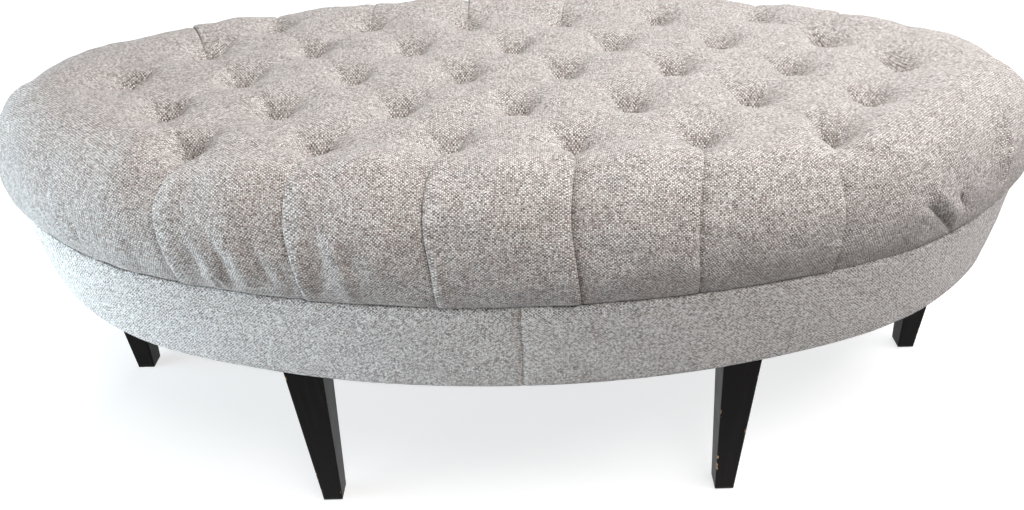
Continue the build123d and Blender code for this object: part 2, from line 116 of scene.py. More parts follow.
# Gentle unevenness: lengths and heights of its waves, how many there are of each length, and
# how much they differ in length
WAVES_EACH = 5
WAVE_STRETCH = (0.7, 1.4)
TOP_SEED = 5
TOP_LUMPS = ((95, 0.9), (48, 0.5), (21, 0.25))
BAND_LUMPS = ((150, 0.35), (70, 0.25), (34, 0.12))
BAND_EDGE_LUMPS = ((120, 0.5), (46, 0.35))

# Trough that an outer tuft pulls down the shoulder: depth, how soon it fades, what is left of it
# on the side, half width, the mean width of a panel, and the fold strength that gives it in full
VALLEY_DEPTH = 7.0
VALLEY_FADE = 0.12
VALLEY_SIDE_DEPTH = 1.6
VALLEY_WIDTH = 15.0
PANEL_WIDTH = 118.0
VALLEY_STRENGTH = 0.8

# Fullness of the panels between the pleats, from the right end round by the back
PANEL_PUFFS = (
    3.5, 6.0, 5.0, 4.5, 4.5, 4.5, 5.0, 5.0, 3.0,
    3.0, 6.5, 10.0, 11.0, 11.0, 11.0, 11.0, 9.0, 5.0,
)

# Each pleat runs from an outer tuft to the seam, from the right end round by the back.
# Tuft, places passed in the unrolled cloth, side that laps over (1 is the next panel's),
# and how strongly the fold shows below the tuft, halfway and at the seam.
PLEATS = (
    ((456, 0), ((487, -14), (531, -8), (600, -14), (715, -16)), -1, (0.9, 1.0, 0.8)),
    ((391, 81), ((424, 130), (462, 190), (500, 240), (535, 275)), 1, (0.3, 0.5, 0.6)),
    ((326, 162), ((334, 210), (344, 265), (350, 315), (356, 345)), 1, (0.35, 0.6, 0.6)),
    ((195, 162), ((198, 215), (205, 270), (206, 330), (212, 372)), 1, (0.35, 0.5, 0.6)),
    ((65, 162), ((68, 215), (72, 275), (69, 335), (71, 388)), 1, (0.4, 0.6, 0.6)),
    ((-65, 162), ((-69, 215), (-76, 280), (-72, 340), (-75, 388)), -1, (0.4, 0.6, 0.6)),
    ((-195, 162), ((-201, 212), (-211, 265), (-212, 322), (-214, 372)), -1, (0.35, 0.6, 0.6)),
    ((-326, 162), ((-337, 208), (-352, 260), (-360, 312), (-366, 340)), -1, (0.3, 0.5, 0.6)),
    ((-391, 81), ((-422, 128), (-460, 186), (-498, 238), (-525, 268)), -1, (0.3, 0.5, 0.6)),
    ((-456, 0), ((-480, -18), (-512, -10), (-545, -14), (-600, -8), (-715, 0)), 1, (1.0, 1.0, 0.8)),
    ((-391, -81), ((-412, -128), (-440, -183), (-468, -231), (-515, -290)), 1, (0.2, 0.1, 0.3)),
    (
        (-326, -162),
        ((-333, -200), (-343, -218), (-354, -238), (-357, -265), (-363, -305), (-377, -330)),
        1, (1.1, 1.4, 1.2),
    ),
    (
        (-195, -162),
        ((-205, -206), (-213, -228), (-218, -255), (-220, -285), (-219, -320), (-228, -368)),
        1, (1.1, 1.5, 1.4),
    ),
    ((-65, -162), ((-76, -217), (-82, -240), (-86, -280), (-83, -332), (-84, -378)), 1, (0.8, 1.2, 1.2)),
    ((65, -162), ((56, -226), (51, -270), (52, -300), (59, -342), (66, -386)), -1, (0.8, 0.7, 0.7)),
    (
        (195, -162),
        ((179, -226), (175, -252), (174, -290), (180, -326), (193, -364)),
        -1, (0.75, 0.5, 0.5),
    ),
    (
        (326, -162),
        ((314, -226), (322, -258), (330, -290), (336, -314), (349, -341)),
        -1, (0.5, 0.45, 0.8),
    ),
    ((391, -81), ((420, -130), (452, -185), (482, -232), (510, -275)), -1, (0.25, 0.2, 0.4)),
)

# How far down the pleat each of its strengths is met. It starts at nothing in the pit.
FOLD_STAGES = (0.0, 0.06, 0.22, 0.6, 1.0)

# Section across a fold of strength 1: distance from the fold in the cloth, where that point
# comes to lie, and its height. Minus is the cloth beneath, plus the cloth that laps over it.
FOLD_SECTION = (
    (-30.0, -30.0, 0.0),
    (-22.0, -22.0, -0.1),
    (-16.0, -16.0, -0.2),
    (-12.0, -12.0, -0.4),
    (-9.0, -9.0, -0.6),
    (-6.5, -6.3, -0.9),
    (-4.5, -4.1, -1.3),
    (-3.0, -2.3, -1.9),
    (-1.8, -1.0, -2.7),
    (-0.9, 0.2, -3.5),
    (-0.4, 1.0, -4.0),
    (0.0, 1.6, -4.2),
    (0.4, 1.1, -3.4),
    (0.9, 0.0, -2.1),
    (1.8, -1.0, -0.2),
    (3.0, -0.9, 1.5),
    (4.5, 0.6, 2.4),
    (6.5, 3.4, 2.8),
    (9.0, 7.2, 2.8),
    (12.0, 11.1, 2.6),
    (16.0, 15.7, 2.1),
    (22.0, 22.0, 1.2),
    (30.0, 30.0, 0.3),
)

# Wrinkles in the unrolled cloth: places passed, half width and height, minus for a furrow
WRINKLES = (
    (((-335, -271), (-333, -288), (-336, -314)), 5.0, -3.4),
    (((-318, -270), (-315, -298), (-322, -332)), 8.0, 2.4),
    (((-299, -272), (-296, -296), (-304, -334)), 6.0, -4.2),
    (((-315, -318), (-323, -342)), 3.5, -2.0),
    (((-281, -280), (-277, -310), (-285, -343)), 8.0, 2.4),
    (((-260, -283), (-257, -310), (-254, -336)), 5.5, -2.8),
    (((-246, -292), (-243, -335)), 7.0, 1.8),
    (((-231, -312), (-240, -354)), 5.0, -2.4),
    (((-193, -282), (-198, -319), (-212, -362)), 9.0, -5.5),
    (((-190, -231), (-196, -258), (-194, -286)), 12.0, 3.6),
    (((-177, -284), (-172, -313), (-176, -358)), 8.0, 3.0),
    (((-158, -295), (-158, -345)), 7.0, -1.8),
    (((-318, -222), (-329, -244), (-331, -268)), 14.0, 3.6),
    (((-60, -243), (-63, -266), (-59, -290)), 11.0, 3.2),
    (((-72, -290), (-68, -332), (-70, -368)), 6.0, -3.0),
    (((-57, -300), (-55, -352)), 6.0, 1.8),
    (((-124, -90), (-108, -75), (-94, -60)), 3.0, -3.5),
    (((322, -170), (315, -150), (321, -126)), 3.0, -3.5),
    (((121, 72), (126, 98)), 3.0, -2.5),
    (((421, -246), (443, -250), (466, -255), (498, -263)), 3.2, -5.5),
    (((418, -226), (452, -238), (490, -246)), 6.5, 4.2),
    (((466, -224), (500, -235)), 3.5, -3.5),
    (((-476, -224), (-482, -243), (-499, -259)), 4.0, -2.4),
    (((-406, -251), (-401, -275)), 5.0, -1.4),
    (((524, -118), (536, -150), (545, -172), (556, -190)), 4.0, -11.0),
    (((513, -122), (522, -152), (533, -182)), 6.0, 5.0),
)

# Layers of the top: rows down the border, columns between two pleats, step of the lattice in the
# middle, whether it is folded and wrinkled, depth under the cloth, what is added to the depth of
# the pits, and its share of the panels' fullness
TOP_LAYERS = {
    "tufted_cloth": (104, 36, 2.6, True, 0.0, 0.0, 1.0),
    "wadding_layer": (40, 14, 8.0, False, 13.0, 3.0, 0.7),
    "foam_core": (36, 12, 9.0, False, 20.0, -4.0, 0.6),
}
ROW_GRADING = 1.15
PATH_POINTS = 400
# Rings of mesh points round each tuft: radius in lattice steps, and how many points
TUFT_RINGS = ((0.3, 6), (0.65, 8), (1.1, 12), (1.7, 16), (2.5, 20), (3.4, 24))
RING_ROOM = 4.2
# Points this near to each other are joined when a mesh is laid over them
MERGE_DISTANCE = 1e-4
# Near the seam the relief flattens and the cloth swells a little, then its skirt turns in: shift
# inwards and drop
SEAM_FLATTENING = 0.75
SEAM_FULLNESS = 2.1
FULLNESS_FADE = 6.0
SKIRT_ROWS = ((0.3, -2.0), (0.4, -8.0), (0.4, -16.0), (0.4, -23.0))

# Band: inset from the outline, height, and how much of its unevenness the place takes
BAND_SECTION = (
    (6.0, 343.0, 0.0),
    (5.6, 352.0, 0.0),
    (5.3, 356.5, 0.0),
    (4.4, 358.6, 0.3),
    (3.2, 359.4, 0.5),
    (2.0, 359.2, 0.6),
    (1.0, 358.2, 0.7),
    (0.35, 356.6, 0.8),
    (0.1, 354.0, 0.9),
)
BAND_FOOT_SECTION = (
    (0.1, 249.0, 0.8),
    (0.5, 247.0, 0.6),
    (1.5, 245.6, 0.3),
    (3.0, 245.0, 0.1),
    (8.0, 244.9, 0.0),
    (24.0, 244.9, 0.0),
    (45.0, 245.0, 0.0),
)
BAND_ROWS = 46
BAND_COLUMNS = 520
BAND_BULGE = 1.6
BAND_EDGE_REACH = 14.0
# Share by which the columns crowd towards the two seams
BAND_CROWDING = 0.12
# At a seam both lengths turn in: depth and width of the turn, then of the hollow beside it
SEAM_TURN = (2.4, 1.8)
SEAM_HOLLOW = (0.5, 9.0)

# Legs: widths at the top and the foot, height of the foot, radius of the arrises, and for each
# leg the place of its top and how far its foot is splayed along and across
LEG_TOP = 43.0
LEG_FOOT = 25.0
LEG_FOOT_Z = 3.0
LEG_EDGE = 1.5
LEG_EDGE_STEPS = 4
LEG_ROWS = 70
LEG_PLACES = {
    "front_left": (-246.0, -237.5, -12.0, -11.0),
    "front_right": (246.0, -237.5, 12.0, -11.0),
    "back_left": (-246.0, 237.5, -12.0, 11.0),
    "back_right": (246.0, 237.5, 12.0, 11.0),
    "left_end": (-570.5, 0.0, -30.0, 0.0),
    "right_end": (570.5, 0.0, 30.0, 0.0),
}
# Points on a flat side of a leg: share of the way to the next arris, and nearness to an arris
LEG_SIDE_POINTS = (
    (0.04, 0.75), (0.12, 0.3), (0.3, 0.0), (0.5, 0.0), (0.7, 0.0), (0.88, 0.3), (0.96, 0.75),
)

# Dust cover: how far inside the outline it is held and hangs free, its sag, and the height,
# length and sway of its wrinkles
DUST_INSET = 15.0
DUST_RIM_POINTS = 260
DUST_Z = 244.5
DUST_HELD = 95.0
DUST_FREE = 240.0
DUST_SAG = 5.0
DUST_SAG_LENGTH = 585.0
DUST_WRINKLE = 0.6
DUST_WRINKLE_RUN = 17.0
DUST_WRINKLE_SWAY = (3, 60.0)
DUST_STEP = 14.0
# Half width of the squares cut out round the legs
LEG_ROOM = 23.5
LEG_ROOM_POINTS = 6

# Distance from yarn to yarn, warp then weft, and how far they wander, in metres
TOP_YARNS = (0.0018, 0.0015)
BAND_YARNS = (0.0018, 0.00165)
YARN_WANDER = 0.0014
# How far each part of the weave moves the tone of the cloth, and the sum of their means
FLOAT_TONE = 0.21
YARN_TONE = 0.36
# The floats' rounded form in the tone is painted shade: darker in the gaps between floats, lighter on
# their crowns
PAINTED_GAP_SHADE = 0.24
FIBRE_TONE = 0.52
GRAIN_TONE = 1.00
MOTTLE_TONE = 0.10
MEAN_TONE = 1.11
# Thickness of two plies and length of a twist of the twine, in metres
PLY_PAIR = 0.0028
TWIST = 0.0016

# Plain materials: light and dark colour in screen values, then the numbers that their functions
# take, with lengths in metres and scales in cells for each metre
FIBROUS = {
    "foam": ((232, 222, 188), (214, 200, 160), 900.0, 0.85, 0.0004),
    "wadding": ((244, 243, 240), (222, 221, 217), 420.0, 0.9, 0.0010),
    "card": ((186, 166, 138), (160, 140, 112), 700.0, 0.75, 0.0002),
    "dust_cloth": ((34, 34, 36), (20, 20, 22), 1300.0, 0.8, 0.0003),
}
WOODS = {
    "bending_plywood": ((206, 170, 126), (172, 134, 92), 0.6, (7.0, 7.0, 120.0)),
    "pine": ((226, 194, 142), (192, 152, 100), 0.55, (6.0, 80.0, 80.0)),
}
STEELS = {
    "staple_steel": ((206, 206, 208), (160, 160, 164), 0.3),
    "zinc_steel": ((196, 200, 206), (140, 146, 154), 0.35),
}

# Floor: its glow, which lights nothing, grows between two distances from the object, in metres
FLOOR_HALF = 6000.0
FLOOR_COLOUR = (0.45, 0.45, 0.45, 1.0)
FLOOR_GLOW = {"From Min": 0.7, "From Max": 2.4, "To Min": 0.70, "To Max": 0.95}
WORLD_COLOUR = (0.93, 0.96, 1.0, 1.0)
WORLD_STRENGTH = 0.04

# Lights: place, target, width and height in metres, power in watts, and colour
LIGHTS = {
    "front_overhead": ((0.6, -0.65, 2.2), (0.0, 0.0, 0.4), (1.4, 1.0), 42.5, (1.0, 0.965, 0.94)),
    "back_overhead": ((0.5, 1.0, 2.1), (0.0, 0.0, 0.4), (1.8, 1.2), 31.0, (0.98, 0.99, 1.0)),
    "window": ((-2.2, -0.3, 0.34), (-0.3, 0.0, 0.38), (1.1, 0.55), 46.0, (0.66, 0.88, 1.0)),
    "low_window": ((-1.9, -0.9, 0.28), (-0.3, -0.1, 0.3), (1.0, 0.5), 19.0, (0.97, 0.96, 0.97)),
    "room": ((2.1, -0.1, 1.1), (0.1, 0.0, 0.45), (1.2, 1.0), 17.0, (1.0, 0.96, 0.97)),
}

# Camera, fitted to the photograph's tufts, seam, outline and legs
CAMERA_PLACE = Vector((0.0184, -0.8251, 0.8497))
CAMERA_YAW = math.radians(0.75)
CAMERA_PITCH = math.radians(38.89)
CAMERA_ROLL = math.radians(-0.98)
CAMERA_LENS = 25.86
CAMERA_SENSOR = 36.0
CAMERA_SHIFT = (-0.0321, 0.0072)


def oval_arcs():
    """Centre x, centre y, radius, start angle and sweep of the eight arcs, from the right end round."""
    end_radius = END_RADIUS_SHARE * HALF_WIDTH ** 2 / HALF_LENGTH
    end_centre = HALF_LENGTH - end_radius
    cos_first, sin_first = math.cos(HAUNCH_START), math.sin(HAUNCH_START)
    cos_second, sin_second = math.cos(SIDE_START), math.sin(SIDE_START)
    # The arcs of a quarter meet both axes: two equations for the haunch and side radii
    along = (cos_second - cos_first, -cos_second, -end_centre - end_radius * cos_first)
    across = (sin_second - sin_first, 1 - sin_second, HALF_WIDTH - end_radius * sin_first)
    scale = along[0] * across[1] - along[1] * across[0]
    haunch_radius = (along[2] * across[1] - along[1] * across[2]) / scale
    side_radius = (along[0] * across[2] - across[0] * along[2]) / scale
    haunch_x = end_centre - (haunch_radius - end_radius) * cos_first
    haunch_y = -(haunch_radius - end_radius) * sin_first
    side_y = HALF_WIDTH - side_radius
    haunch_sweep = SIDE_START - HAUNCH_START
    side_sweep = math.pi - 2 * SIDE_START
    side_end = math.pi - SIDE_START
    arcs = []
    for sign, turn in ((1, 0.0), (-1, math.pi)):
        arcs += [
            (sign * end_centre, 0.0, end_radius, turn - HAUNCH_START, 2 * HAUNCH_START),
            (sign * haunch_x, sign * haunch_y, haunch_radius, turn + HAUNCH_START, haunch_sweep),
            (0.0, sign * side_y, side_radius, turn + SIDE_START, side_sweep),
            (-sign * haunch_x, sign * haunch_y, haunch_radius, turn + side_end, haunch_sweep),
        ]
    return arcs


ARCS = oval_arcs()
ARC_LENGTHS = np.array([radius * sweep for x, y, radius, start, sweep in ARCS])
ARC_STARTS = np.concatenate([[0.0], np.cumsum(ARC_LENGTHS)[:-1]])
PERIMETER = float(ARC_LENGTHS.sum())


def outline_place(points):
    """Where plan points lie: distance along the outline, distance outside it and outward normal."""
    best = np.full(len(points), -np.inf)
    along = np.zeros(len(points))
    normal = np.zeros((len(points), 2))
    for (x, y, radius, start, sweep), before in zip(ARCS, ARC_STARTS):
        reach = points - (x, y)
        angle = np.arctan2(reach[:, 1], reach[:, 0])
        turned = (angle - start + 1e-9) % (2 * math.pi)
        outside = np.hypot(reach[:, 0], reach[:, 1]) - radius
        here = (turned <= sweep + 1e-8) & (outside > best)
        best[here] = outside[here]
        along[here] = before + radius * turned[here]
        normal[here, 0] = np.cos(angle[here])
        normal[here, 1] = np.sin(angle[here])
    return along, best, normal


def outline_point(along, outside=0.0):
    """Plan points at distances along the outline, moved outside it, and their outward normals."""
    along = np.atleast_1d(along) % PERIMETER
    arc = np.searchsorted(ARC_STARTS, along, side="right") - 1
    table = np.array(ARCS)[arc]
    angle = table[:, 3] + (along - ARC_STARTS[arc]) / table[:, 2]
    normal = np.stack([np.cos(angle), np.sin(angle)], 1)
    return table[:, :2] + normal * (table[:, 2:3] + np.reshape(outside, (-1, 1))), normal


def tuft_places():
    """Centres of the tufts in plan."""
    middle_row = (len(TUFT_ROWS) - 1) / 2
    even = [
        ((column - (count - 1) / 2) * TUFT_PITCH_X, (middle_row - row) * TUFT_PITCH_Y)
        for row, count in enumerate(TUFT_ROWS)
        for column in range(count)
    ]
    return [(x + right, y + away) for (x, y), (right, away) in zip(even, TUFT_SHIFTS)]


def smooth_path(points, count):
    """count points at even spacing on a smooth line through the given ones."""
    points = np.array(points, float)
    padded = np.vstack([2 * points[0] - points[1], points, 2 * points[-1] - points[-2]])
    fine = []
    for first, second, third, fourth in zip(padded, padded[1:], padded[2:], padded[3:]):
        t = np.linspace(0, 1, 24, endpoint=False)[:, None]
        fine.append(
            0.5 * (2 * second + (third - first) * t
                   + (2 * first - 5 * second + 4 * third - fourth) * t ** 2
                   + (3 * second - first - 3 * third + fourth) * t ** 3)
        )
    fine = np.vstack(fine + [points[-1:]])
    run = np.concatenate([[0], np.cumsum(np.linalg.norm(np.diff(fine, axis=0), axis=1))])
    places = np.linspace(0, run[-1], count)
    return np.stack([np.interp(places, run, fine[:, axis]) for axis in (0, 1)], 1)


def line_distance(points, line):
    """Distance of points from a line of several runs, and how far along it the nearest place is."""
    line = np.array(line, float)
    lengths = np.linalg.norm(np.diff(line, axis=0), axis=1)
    best = np.full(len(points), np.inf)
    share = np.zeros(len(points))
    run = 0.0
    for start, end, length in zip(line, line[1:], lengths):
        direction = (end - start) / length
        along = np.clip((points - start) @ direction, 0, length)
        away = np.linalg.norm(points - start - along[:, None] * direction, axis=1)
        nearer = away < best
        best[nearer] = away[nearer]
        share[nearer] = (run + along[nearer]) / lengths.sum()
        run += length
    return best, share


def smooth_step(value, low, high):
    """0 below low, 1 above high, smooth between."""
    share = np.clip((value - low) / (high - low), 0, 1)
    return share * share * (3 - 2 * share)


def lumps(points, seed, sizes):
    """Gentle unevenness: waves of the given lengths and heights in seeded directions."""
    rng = np.random.default_rng(seed)
    height = np.zeros(len(points))
    for length, rise in sizes:
        for wave in range(WAVES_EACH):
            turn = rng.uniform(0, 2 * math.pi)
            phase = rng.uniform(0, 2 * math.pi)
            stretch = rng.uniform(*WAVE_STRETCH)
            direction = np.array((math.cos(turn), math.sin(turn)))
            turns = points @ direction * 2 * math.pi / (length * stretch)
            height += rise * np.sin(turns + phase) / 2.2
    return height


def pit_depths(points, tufts):
    """How far each tuft draws the cloth in, as a share of the depth of its pit."""
    share = np.zeros(len(points))
    for x, y in tufts:
        away = np.hypot(points[:, 0] - x, points[:, 1] - y)
        share += np.exp(-((away / PIT_SPREAD) ** PIT_POWER))
    return np.minimum(share, 1.0)


def pucker_heights(points, tufts):
    """Small folds that gather round each tuft."""
    rng = np.random.default_rng(PUCKER_SEED)
    height = np.zeros(len(points))
    for x, y in tufts:
        turns = rng.integers(4, 7, 2)
        phases = rng.uniform(0, 2 * math.pi, 2)
        away = np.hypot(points[:, 0] - x, points[:, 1] - y)
        near = away < PUCKER_LIMIT
        angle = np.arctan2(points[near, 1] - y, points[near, 0] - x)
        wave = sum(np.cos(turn * angle + phase) for turn, phase in zip(turns, phases)) / 2
        ring = np.exp(-(((away[near] - PUCKER_REACH) / PUCKER_WIDTH) ** 2))
        ring *= smooth_step(away[near], 1.0, 9.0)
        height[near] += PUCKER_HEIGHT * wave * ring
    return height


def crease_heights(points, tufts):
    """Creases from tuft to tuft that part the puffs, deepest on the far side of a tuft."""
    height = np.zeros(len(points))
    reach = math.hypot(TUFT_PITCH_X / 2, TUFT_PITCH_Y)
    for index, far in enumerate(tufts):
        for near in tufts[index + 1:]:
            span = math.hypot(near[0] - far[0], near[1] - far[1])
            if abs(span - reach) > 0.2 * reach or abs(near[1] - far[1]) < 0.5 * TUFT_PITCH_Y:
                continue
            away, share = line_distance(points, (near, far))
            leaving = np.clip(1 - 1.7 * share, 0, 1)
            arriving = np.clip(2 * share - 1, 0, 1)
            depth = CREASE_DEPTH + CREASE_NEAR_DEPTH * leaving ** 2.4 + CREASE_FAR_DEPTH * arriving ** 3
            width = CREASE_WIDTH - CREASE_NARROWING * np.maximum(leaving, arriving)
            soft = np.sqrt(away ** 2 + CREASE_ROUNDING ** 2) - CREASE_ROUNDING
            height -= depth * np.exp(-soft / width) * np.exp(-((away / CREASE_LIMIT) ** 2))
    return height


def lip_heights(points, tufts):
    """Fullness of the puffs just in front of each tuft."""
    height = np.zeros(len(points))
    first_near = len(tufts) - TUFT_ROWS[-1]
    for index, (x, y) in enumerate(tufts):
        for right, away, wide, deep in LIPS if index < first_near else NEAR_LIPS:
            spread = ((points[:, 0] - x - right) / wide) ** 2 + ((points[:, 1] - y - away) / deep) ** 2
            height += LIP_HEIGHT * np.exp(-spread)
    return height


def wrinkle_heights(points):
    """The wrinkles, each fading towards its ends."""
    height = np.zeros(len(points))
    for line, width, rise in WRINKLES:
        away, share = line_distance(points, smooth_path(line, 9))
        fade = np.sin(np.pi * np.clip(0.08 + 0.84 * share, 0, 1)) ** 0.8
        height += rise * fade * np.exp(-((away / width) ** 2))
    return height


def top_heights(points, tufts, wrinkled, deeper):
    """Height of the cloth above the plain form, apart from its pleats. deeper is added to its pits."""
    pits = pit_depths(points, tufts)
    along, outside, normal = outline_place(points)
    inside = smooth_step(-(outside + SHOULDER_INSET), -60, 60)
    height = crease_heights(points, tufts) - MIDDLE_DROP * inside
    if wrinkled:
        height += wrinkle_heights(points) + lumps(points, TOP_SEED, TOP_LUMPS)
        height += pucker_heights(points, tufts) + lip_heights(points, tufts)
    # The twine holds the floor of each pit at its own depth, whatever the creases add round it
    return height * (1 - pits) - (PIT_DEPTH + deeper) * pits


def shoulder_place(outside):
    """How far down the cloth points lie from the rim of the crown, and their angle round the shoulder."""
    drop = np.maximum(outside + SHOULDER_INSET, 0)
    return drop, np.minimum(drop, SHOULDER_LENGTH) / SHOULDER_RADIUS


def lift(points, height):
    """Points of the unrolled cloth at a height above it, laid over the crown and down the side."""
    along, outside, normal = outline_place(points)
    drop, shoulder = shoulder_place(outside)
    side = np.maximum(drop - SHOULDER_LENGTH, 0) / SIDE_RADIUS
    out = SHOULDER_RADIUS * np.sin(shoulder) - SIDE_RADIUS * (1 - np.cos(side))
    down = SHOULDER_RADIUS * (1 - np.cos(shoulder)) + SIDE_RADIUS * np.sin(side)
    tilt = shoulder + side
    plan = points + normal * (out - drop + height * np.sin(tilt))[:, None]
    return np.column_stack([plan, CROWN_Z - down + height * np.cos(tilt)])


def cloth_scale(points):
    """How much the cloth's true width along the rim is of its width in the unrolled plan."""
    along, outside, normal = outline_place(points)
    arc = np.clip(np.searchsorted(ARC_STARTS, along, side="right") - 1, 0, len(ARCS) - 1)
    start = np.array(ARCS)[arc, 2] - SHOULDER_INSET
    drop, shoulder = shoulder_place(outside)
    return (start + SHOULDER_RADIUS * np.sin(shoulder)) / (start + drop)


def make_mesh(name, points, faces, uv=None, smooth=True):
    """A mesh object from points in millimetres. uv has one pair for each corner of each face."""
    mesh = bpy.data.meshes.new(name)
    mesh.from_pydata((np.asarray(points) * MM).tolist(), [], faces)
    if uv is not None:
        layer = mesh.uv_layers.new(name="UVMap")
        layer.data.foreach_set("uv", np.asarray(uv, np.float32).ravel())
    if smooth:
        mesh.polygons.foreach_set("use_smooth", [True] * len(mesh.polygons))
    mesh.update()
    piece = bpy.data.objects.new(name, mesh)
    bpy.context.scene.collection.objects.link(piece)
    return piece


def finish_piece(piece, material, replaced):
    """Gives a piece its material and body, and hides the CAD nodes it replaces."""
    piece.data.materials.clear()
    piece.data.materials.append(material)
    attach(piece, "root")
    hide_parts(*replaced)


def grid_faces(rows, columns, closed):
    """Faces of a grid of points kept row by row."""
    faces = []
    for row in range(rows - 1):
        for column in range(columns if closed else columns - 1):
            here = row * columns + column
            beside = row * columns + (column + 1) % columns
            faces.append((here, here + columns, beside + columns, beside))
    return faces


def fold_place(step, strength, over):
    """Where cloth a step from a fold comes to lie, and its height. over tells that it laps over."""
    section = np.array(FOLD_SECTION)
    sign = 1 if over else -1
    row = section[np.argmin(np.abs(section[:, 0] - sign * step))]
    return step + strength * (sign * row[1] - step), strength * row[2]


def panel_places(widths, steps, left, right, middle):
    """Shares across one panel of its columns, row by row.

    widths is the panel's width in each row. left and right give the fold strength at its two
    sides and whether this panel laps over there. Returns shares, fold heights and flat shares.
    """
    columns = []
    for step in (0.0, *steps):
        place, height = fold_place(step, *left)
        columns.append((place / widths, height, step / widths))
    edge = columns[-1][2]
    for column in range(1, middle + 1):
        share = edge + (1 - 2 * edge) * column / (middle + 1)
        columns.append((share, 0 * widths, share))
    for step in reversed(steps):
        place, height = fold_place(step, *right)
        columns.append((1 - place / widths, height, 1 - step / widths))
    return [np.array(values).T for values in zip(*columns)]


def pleat_path(tuft, passed, shares):
    """Points of a pleat from its tuft down to the seam, and where along the outline it ends."""
    along, outside, normal = outline_place(np.array([passed[-1]], float))
    foot, normal = outline_point(along, SEAM_OFFSET)
    path = smooth_path((tuft,) + passed[:-1] + (tuple(foot[0]),), PATH_POINTS)
    places = shares * (len(path) - 1)
    low = np.minimum(places.astype(int), len(path) - 2)
    part = (places - low)[:, None]
    return path[low] * (1 - part) + path[low + 1] * part, float(along[0])


def panel_points(left, right, share, rim, shares):
    """Points across the panel between two pleats, drawn out so that its last row is on the seam."""
    place = left[:, None] * (1 - share[:, :, None]) + right[:, None] * share[:, :, None]
    edge, normal = outline_point(rim[0] + (rim[1] - rim[0]) * share[-1], SEAM_OFFSET)
    short = edge - place[-1]
    return place + (shares[:, None, None] ** 2) * short[None]


def border_grid(rows, middle, folded):
    """Points of the border from the outer tufts to the seam, in the unrolled cloth.

    Returns the places, fold heights, rows' shares and, for each panel, where its cloth is cut from.
    """
    shares = np.linspace(0, 1, rows) ** ROW_GRADING
    tufts = np.array(tuft_places())
    paths = []
    feet = []
    for tuft, passed, lap, strengths in PLEATS:
        nearest = tuple(tufts[np.argmin(np.linalg.norm(tufts - tuft, axis=1))])
        path, foot = pleat_path(nearest, passed, shares)
        paths.append(path)
        feet.append(foot)
    feet = np.unwrap(np.array(feet), period=PERIMETER)
    steps = [row[0] for row in FOLD_SECTION if row[0] > 0] if folded else []
    points = []
    rises = []
    cloths = []
    for panel, pleat in enumerate(PLEATS):
        after = (panel + 1) % len(PLEATS)
        left, right = paths[panel], paths[after]
        widths = np.linalg.norm(right - left, axis=1)
        first, second = [
            folded * np.interp(shares, FOLD_STAGES, (0, 0.25 * tops, tops, mids, ends))
            for tops, mids, ends in (pleat[3], PLEATS[after][3])
        ]
        sides = ((first, pleat[2] > 0), (second, PLEATS[after][2] < 0))
        laid, rise, flat = panel_places(widths, steps, *sides, middle)
        rim = (feet[panel], feet[after] + (PERIMETER if after == 0 else 0))
        points.append(panel_points(left, right, laid, rim, shares))
        rises.append(rise)
        # The cloth is cut without its folds, and its last column is the next panel's first
        whole = np.concatenate([flat, np.ones((rows, 1))], 1)
        cut = panel_points(left, right, whole, rim, shares)
        middle_line = 0.5 * (cut[:, :1] + cut[:, -1:])
        shrink = cloth_scale(cut.reshape(-1, 2)).reshape(rows, -1, 1)
        cloths.append(middle_line + (cut - middle_line) * shrink)
    return np.concatenate(points, 1), np.concatenate(rises, 1), shares, cloths


def panel_puff(shares, per_panel, puffs):
    """Fullness of each panel between its two pleats, from the shoulder down to the seam."""
    part = np.arange(per_panel) / per_panel
    across = np.sin(np.pi * part) ** 0.9
    down = smooth_step(shares, 0.03, 0.30) * (1 - 0.9 * smooth_step(shares, 0.45, 1.0))
    # A slack pleat hardly parts the two panels, so the fullness runs on across it
    slack = 1 - np.clip([1.4 * strengths[1] for tuft, passed, lap, strengths in PLEATS], 0, 1)
    base = slack * 0.5 * (puffs + np.roll(puffs, 1))
    rises = []
    for puff, start, end in zip(puffs, base, np.roll(base, -1)):
        low = start * (1 - part) + end * part
        rises.append(down[:, None] * (low + (puff - low) * across)[None])
    return np.concatenate(rises, 1)


def pleat_valley(shares, per_panel):
    """The trough that each outer tuft pulls down the shoulder, fading to the fold alone."""
    part = np.arange(per_panel) / per_panel
    depth = VALLEY_DEPTH * np.exp(-shares / VALLEY_FADE)
    depth += VALLEY_SIDE_DEPTH * (1 - smooth_step(shares, 0.5, 0.95))
    left = np.exp(-(part * PANEL_WIDTH / VALLEY_WIDTH) ** 1.4)
    right = np.exp(-((1 - part) * PANEL_WIDTH / VALLEY_WIDTH) ** 1.4)
    pull = np.clip([strengths[0] / VALLEY_STRENGTH for tuft, passed, lap, strengths in PLEATS], 0, 1)
    return np.concatenate([
        -depth[:, None] * (first * left + second * right)[None]
        for first, second in zip(pull, np.roll(pull, -1))
    ], 1)


def inside_loop(points, loop):
    """Which points lie inside a closed line."""
    inside = np.zeros(len(points), bool)
    x, y = points[:, 0], points[:, 1]
    for (x0, y0), (x1, y1) in zip(loop, np.roll(loop, -1, 0)):
        if y0 == y1:
            continue
        crosses = (y0 > y) != (y1 > y)
        inside ^= crosses & (x < x0 + (x1 - x0) * (y - y0) / (y1 - y0))
    return inside


def lattice_points(step):
    """An even lattice of triangles over the oval's box."""
    xs = np.arange(-HALF_LENGTH, HALF_LENGTH, step)
    ys = np.arange(-HALF_WIDTH, HALF_WIDTH, step * math.sqrt(3) / 2)
    grid_x, grid_y = np.meshgrid(xs, ys)
    grid_x = grid_x + (np.arange(len(ys)) % 2)[:, None] * step / 2
    return np.column_stack([grid_x.ravel(), grid_y.ravel()])


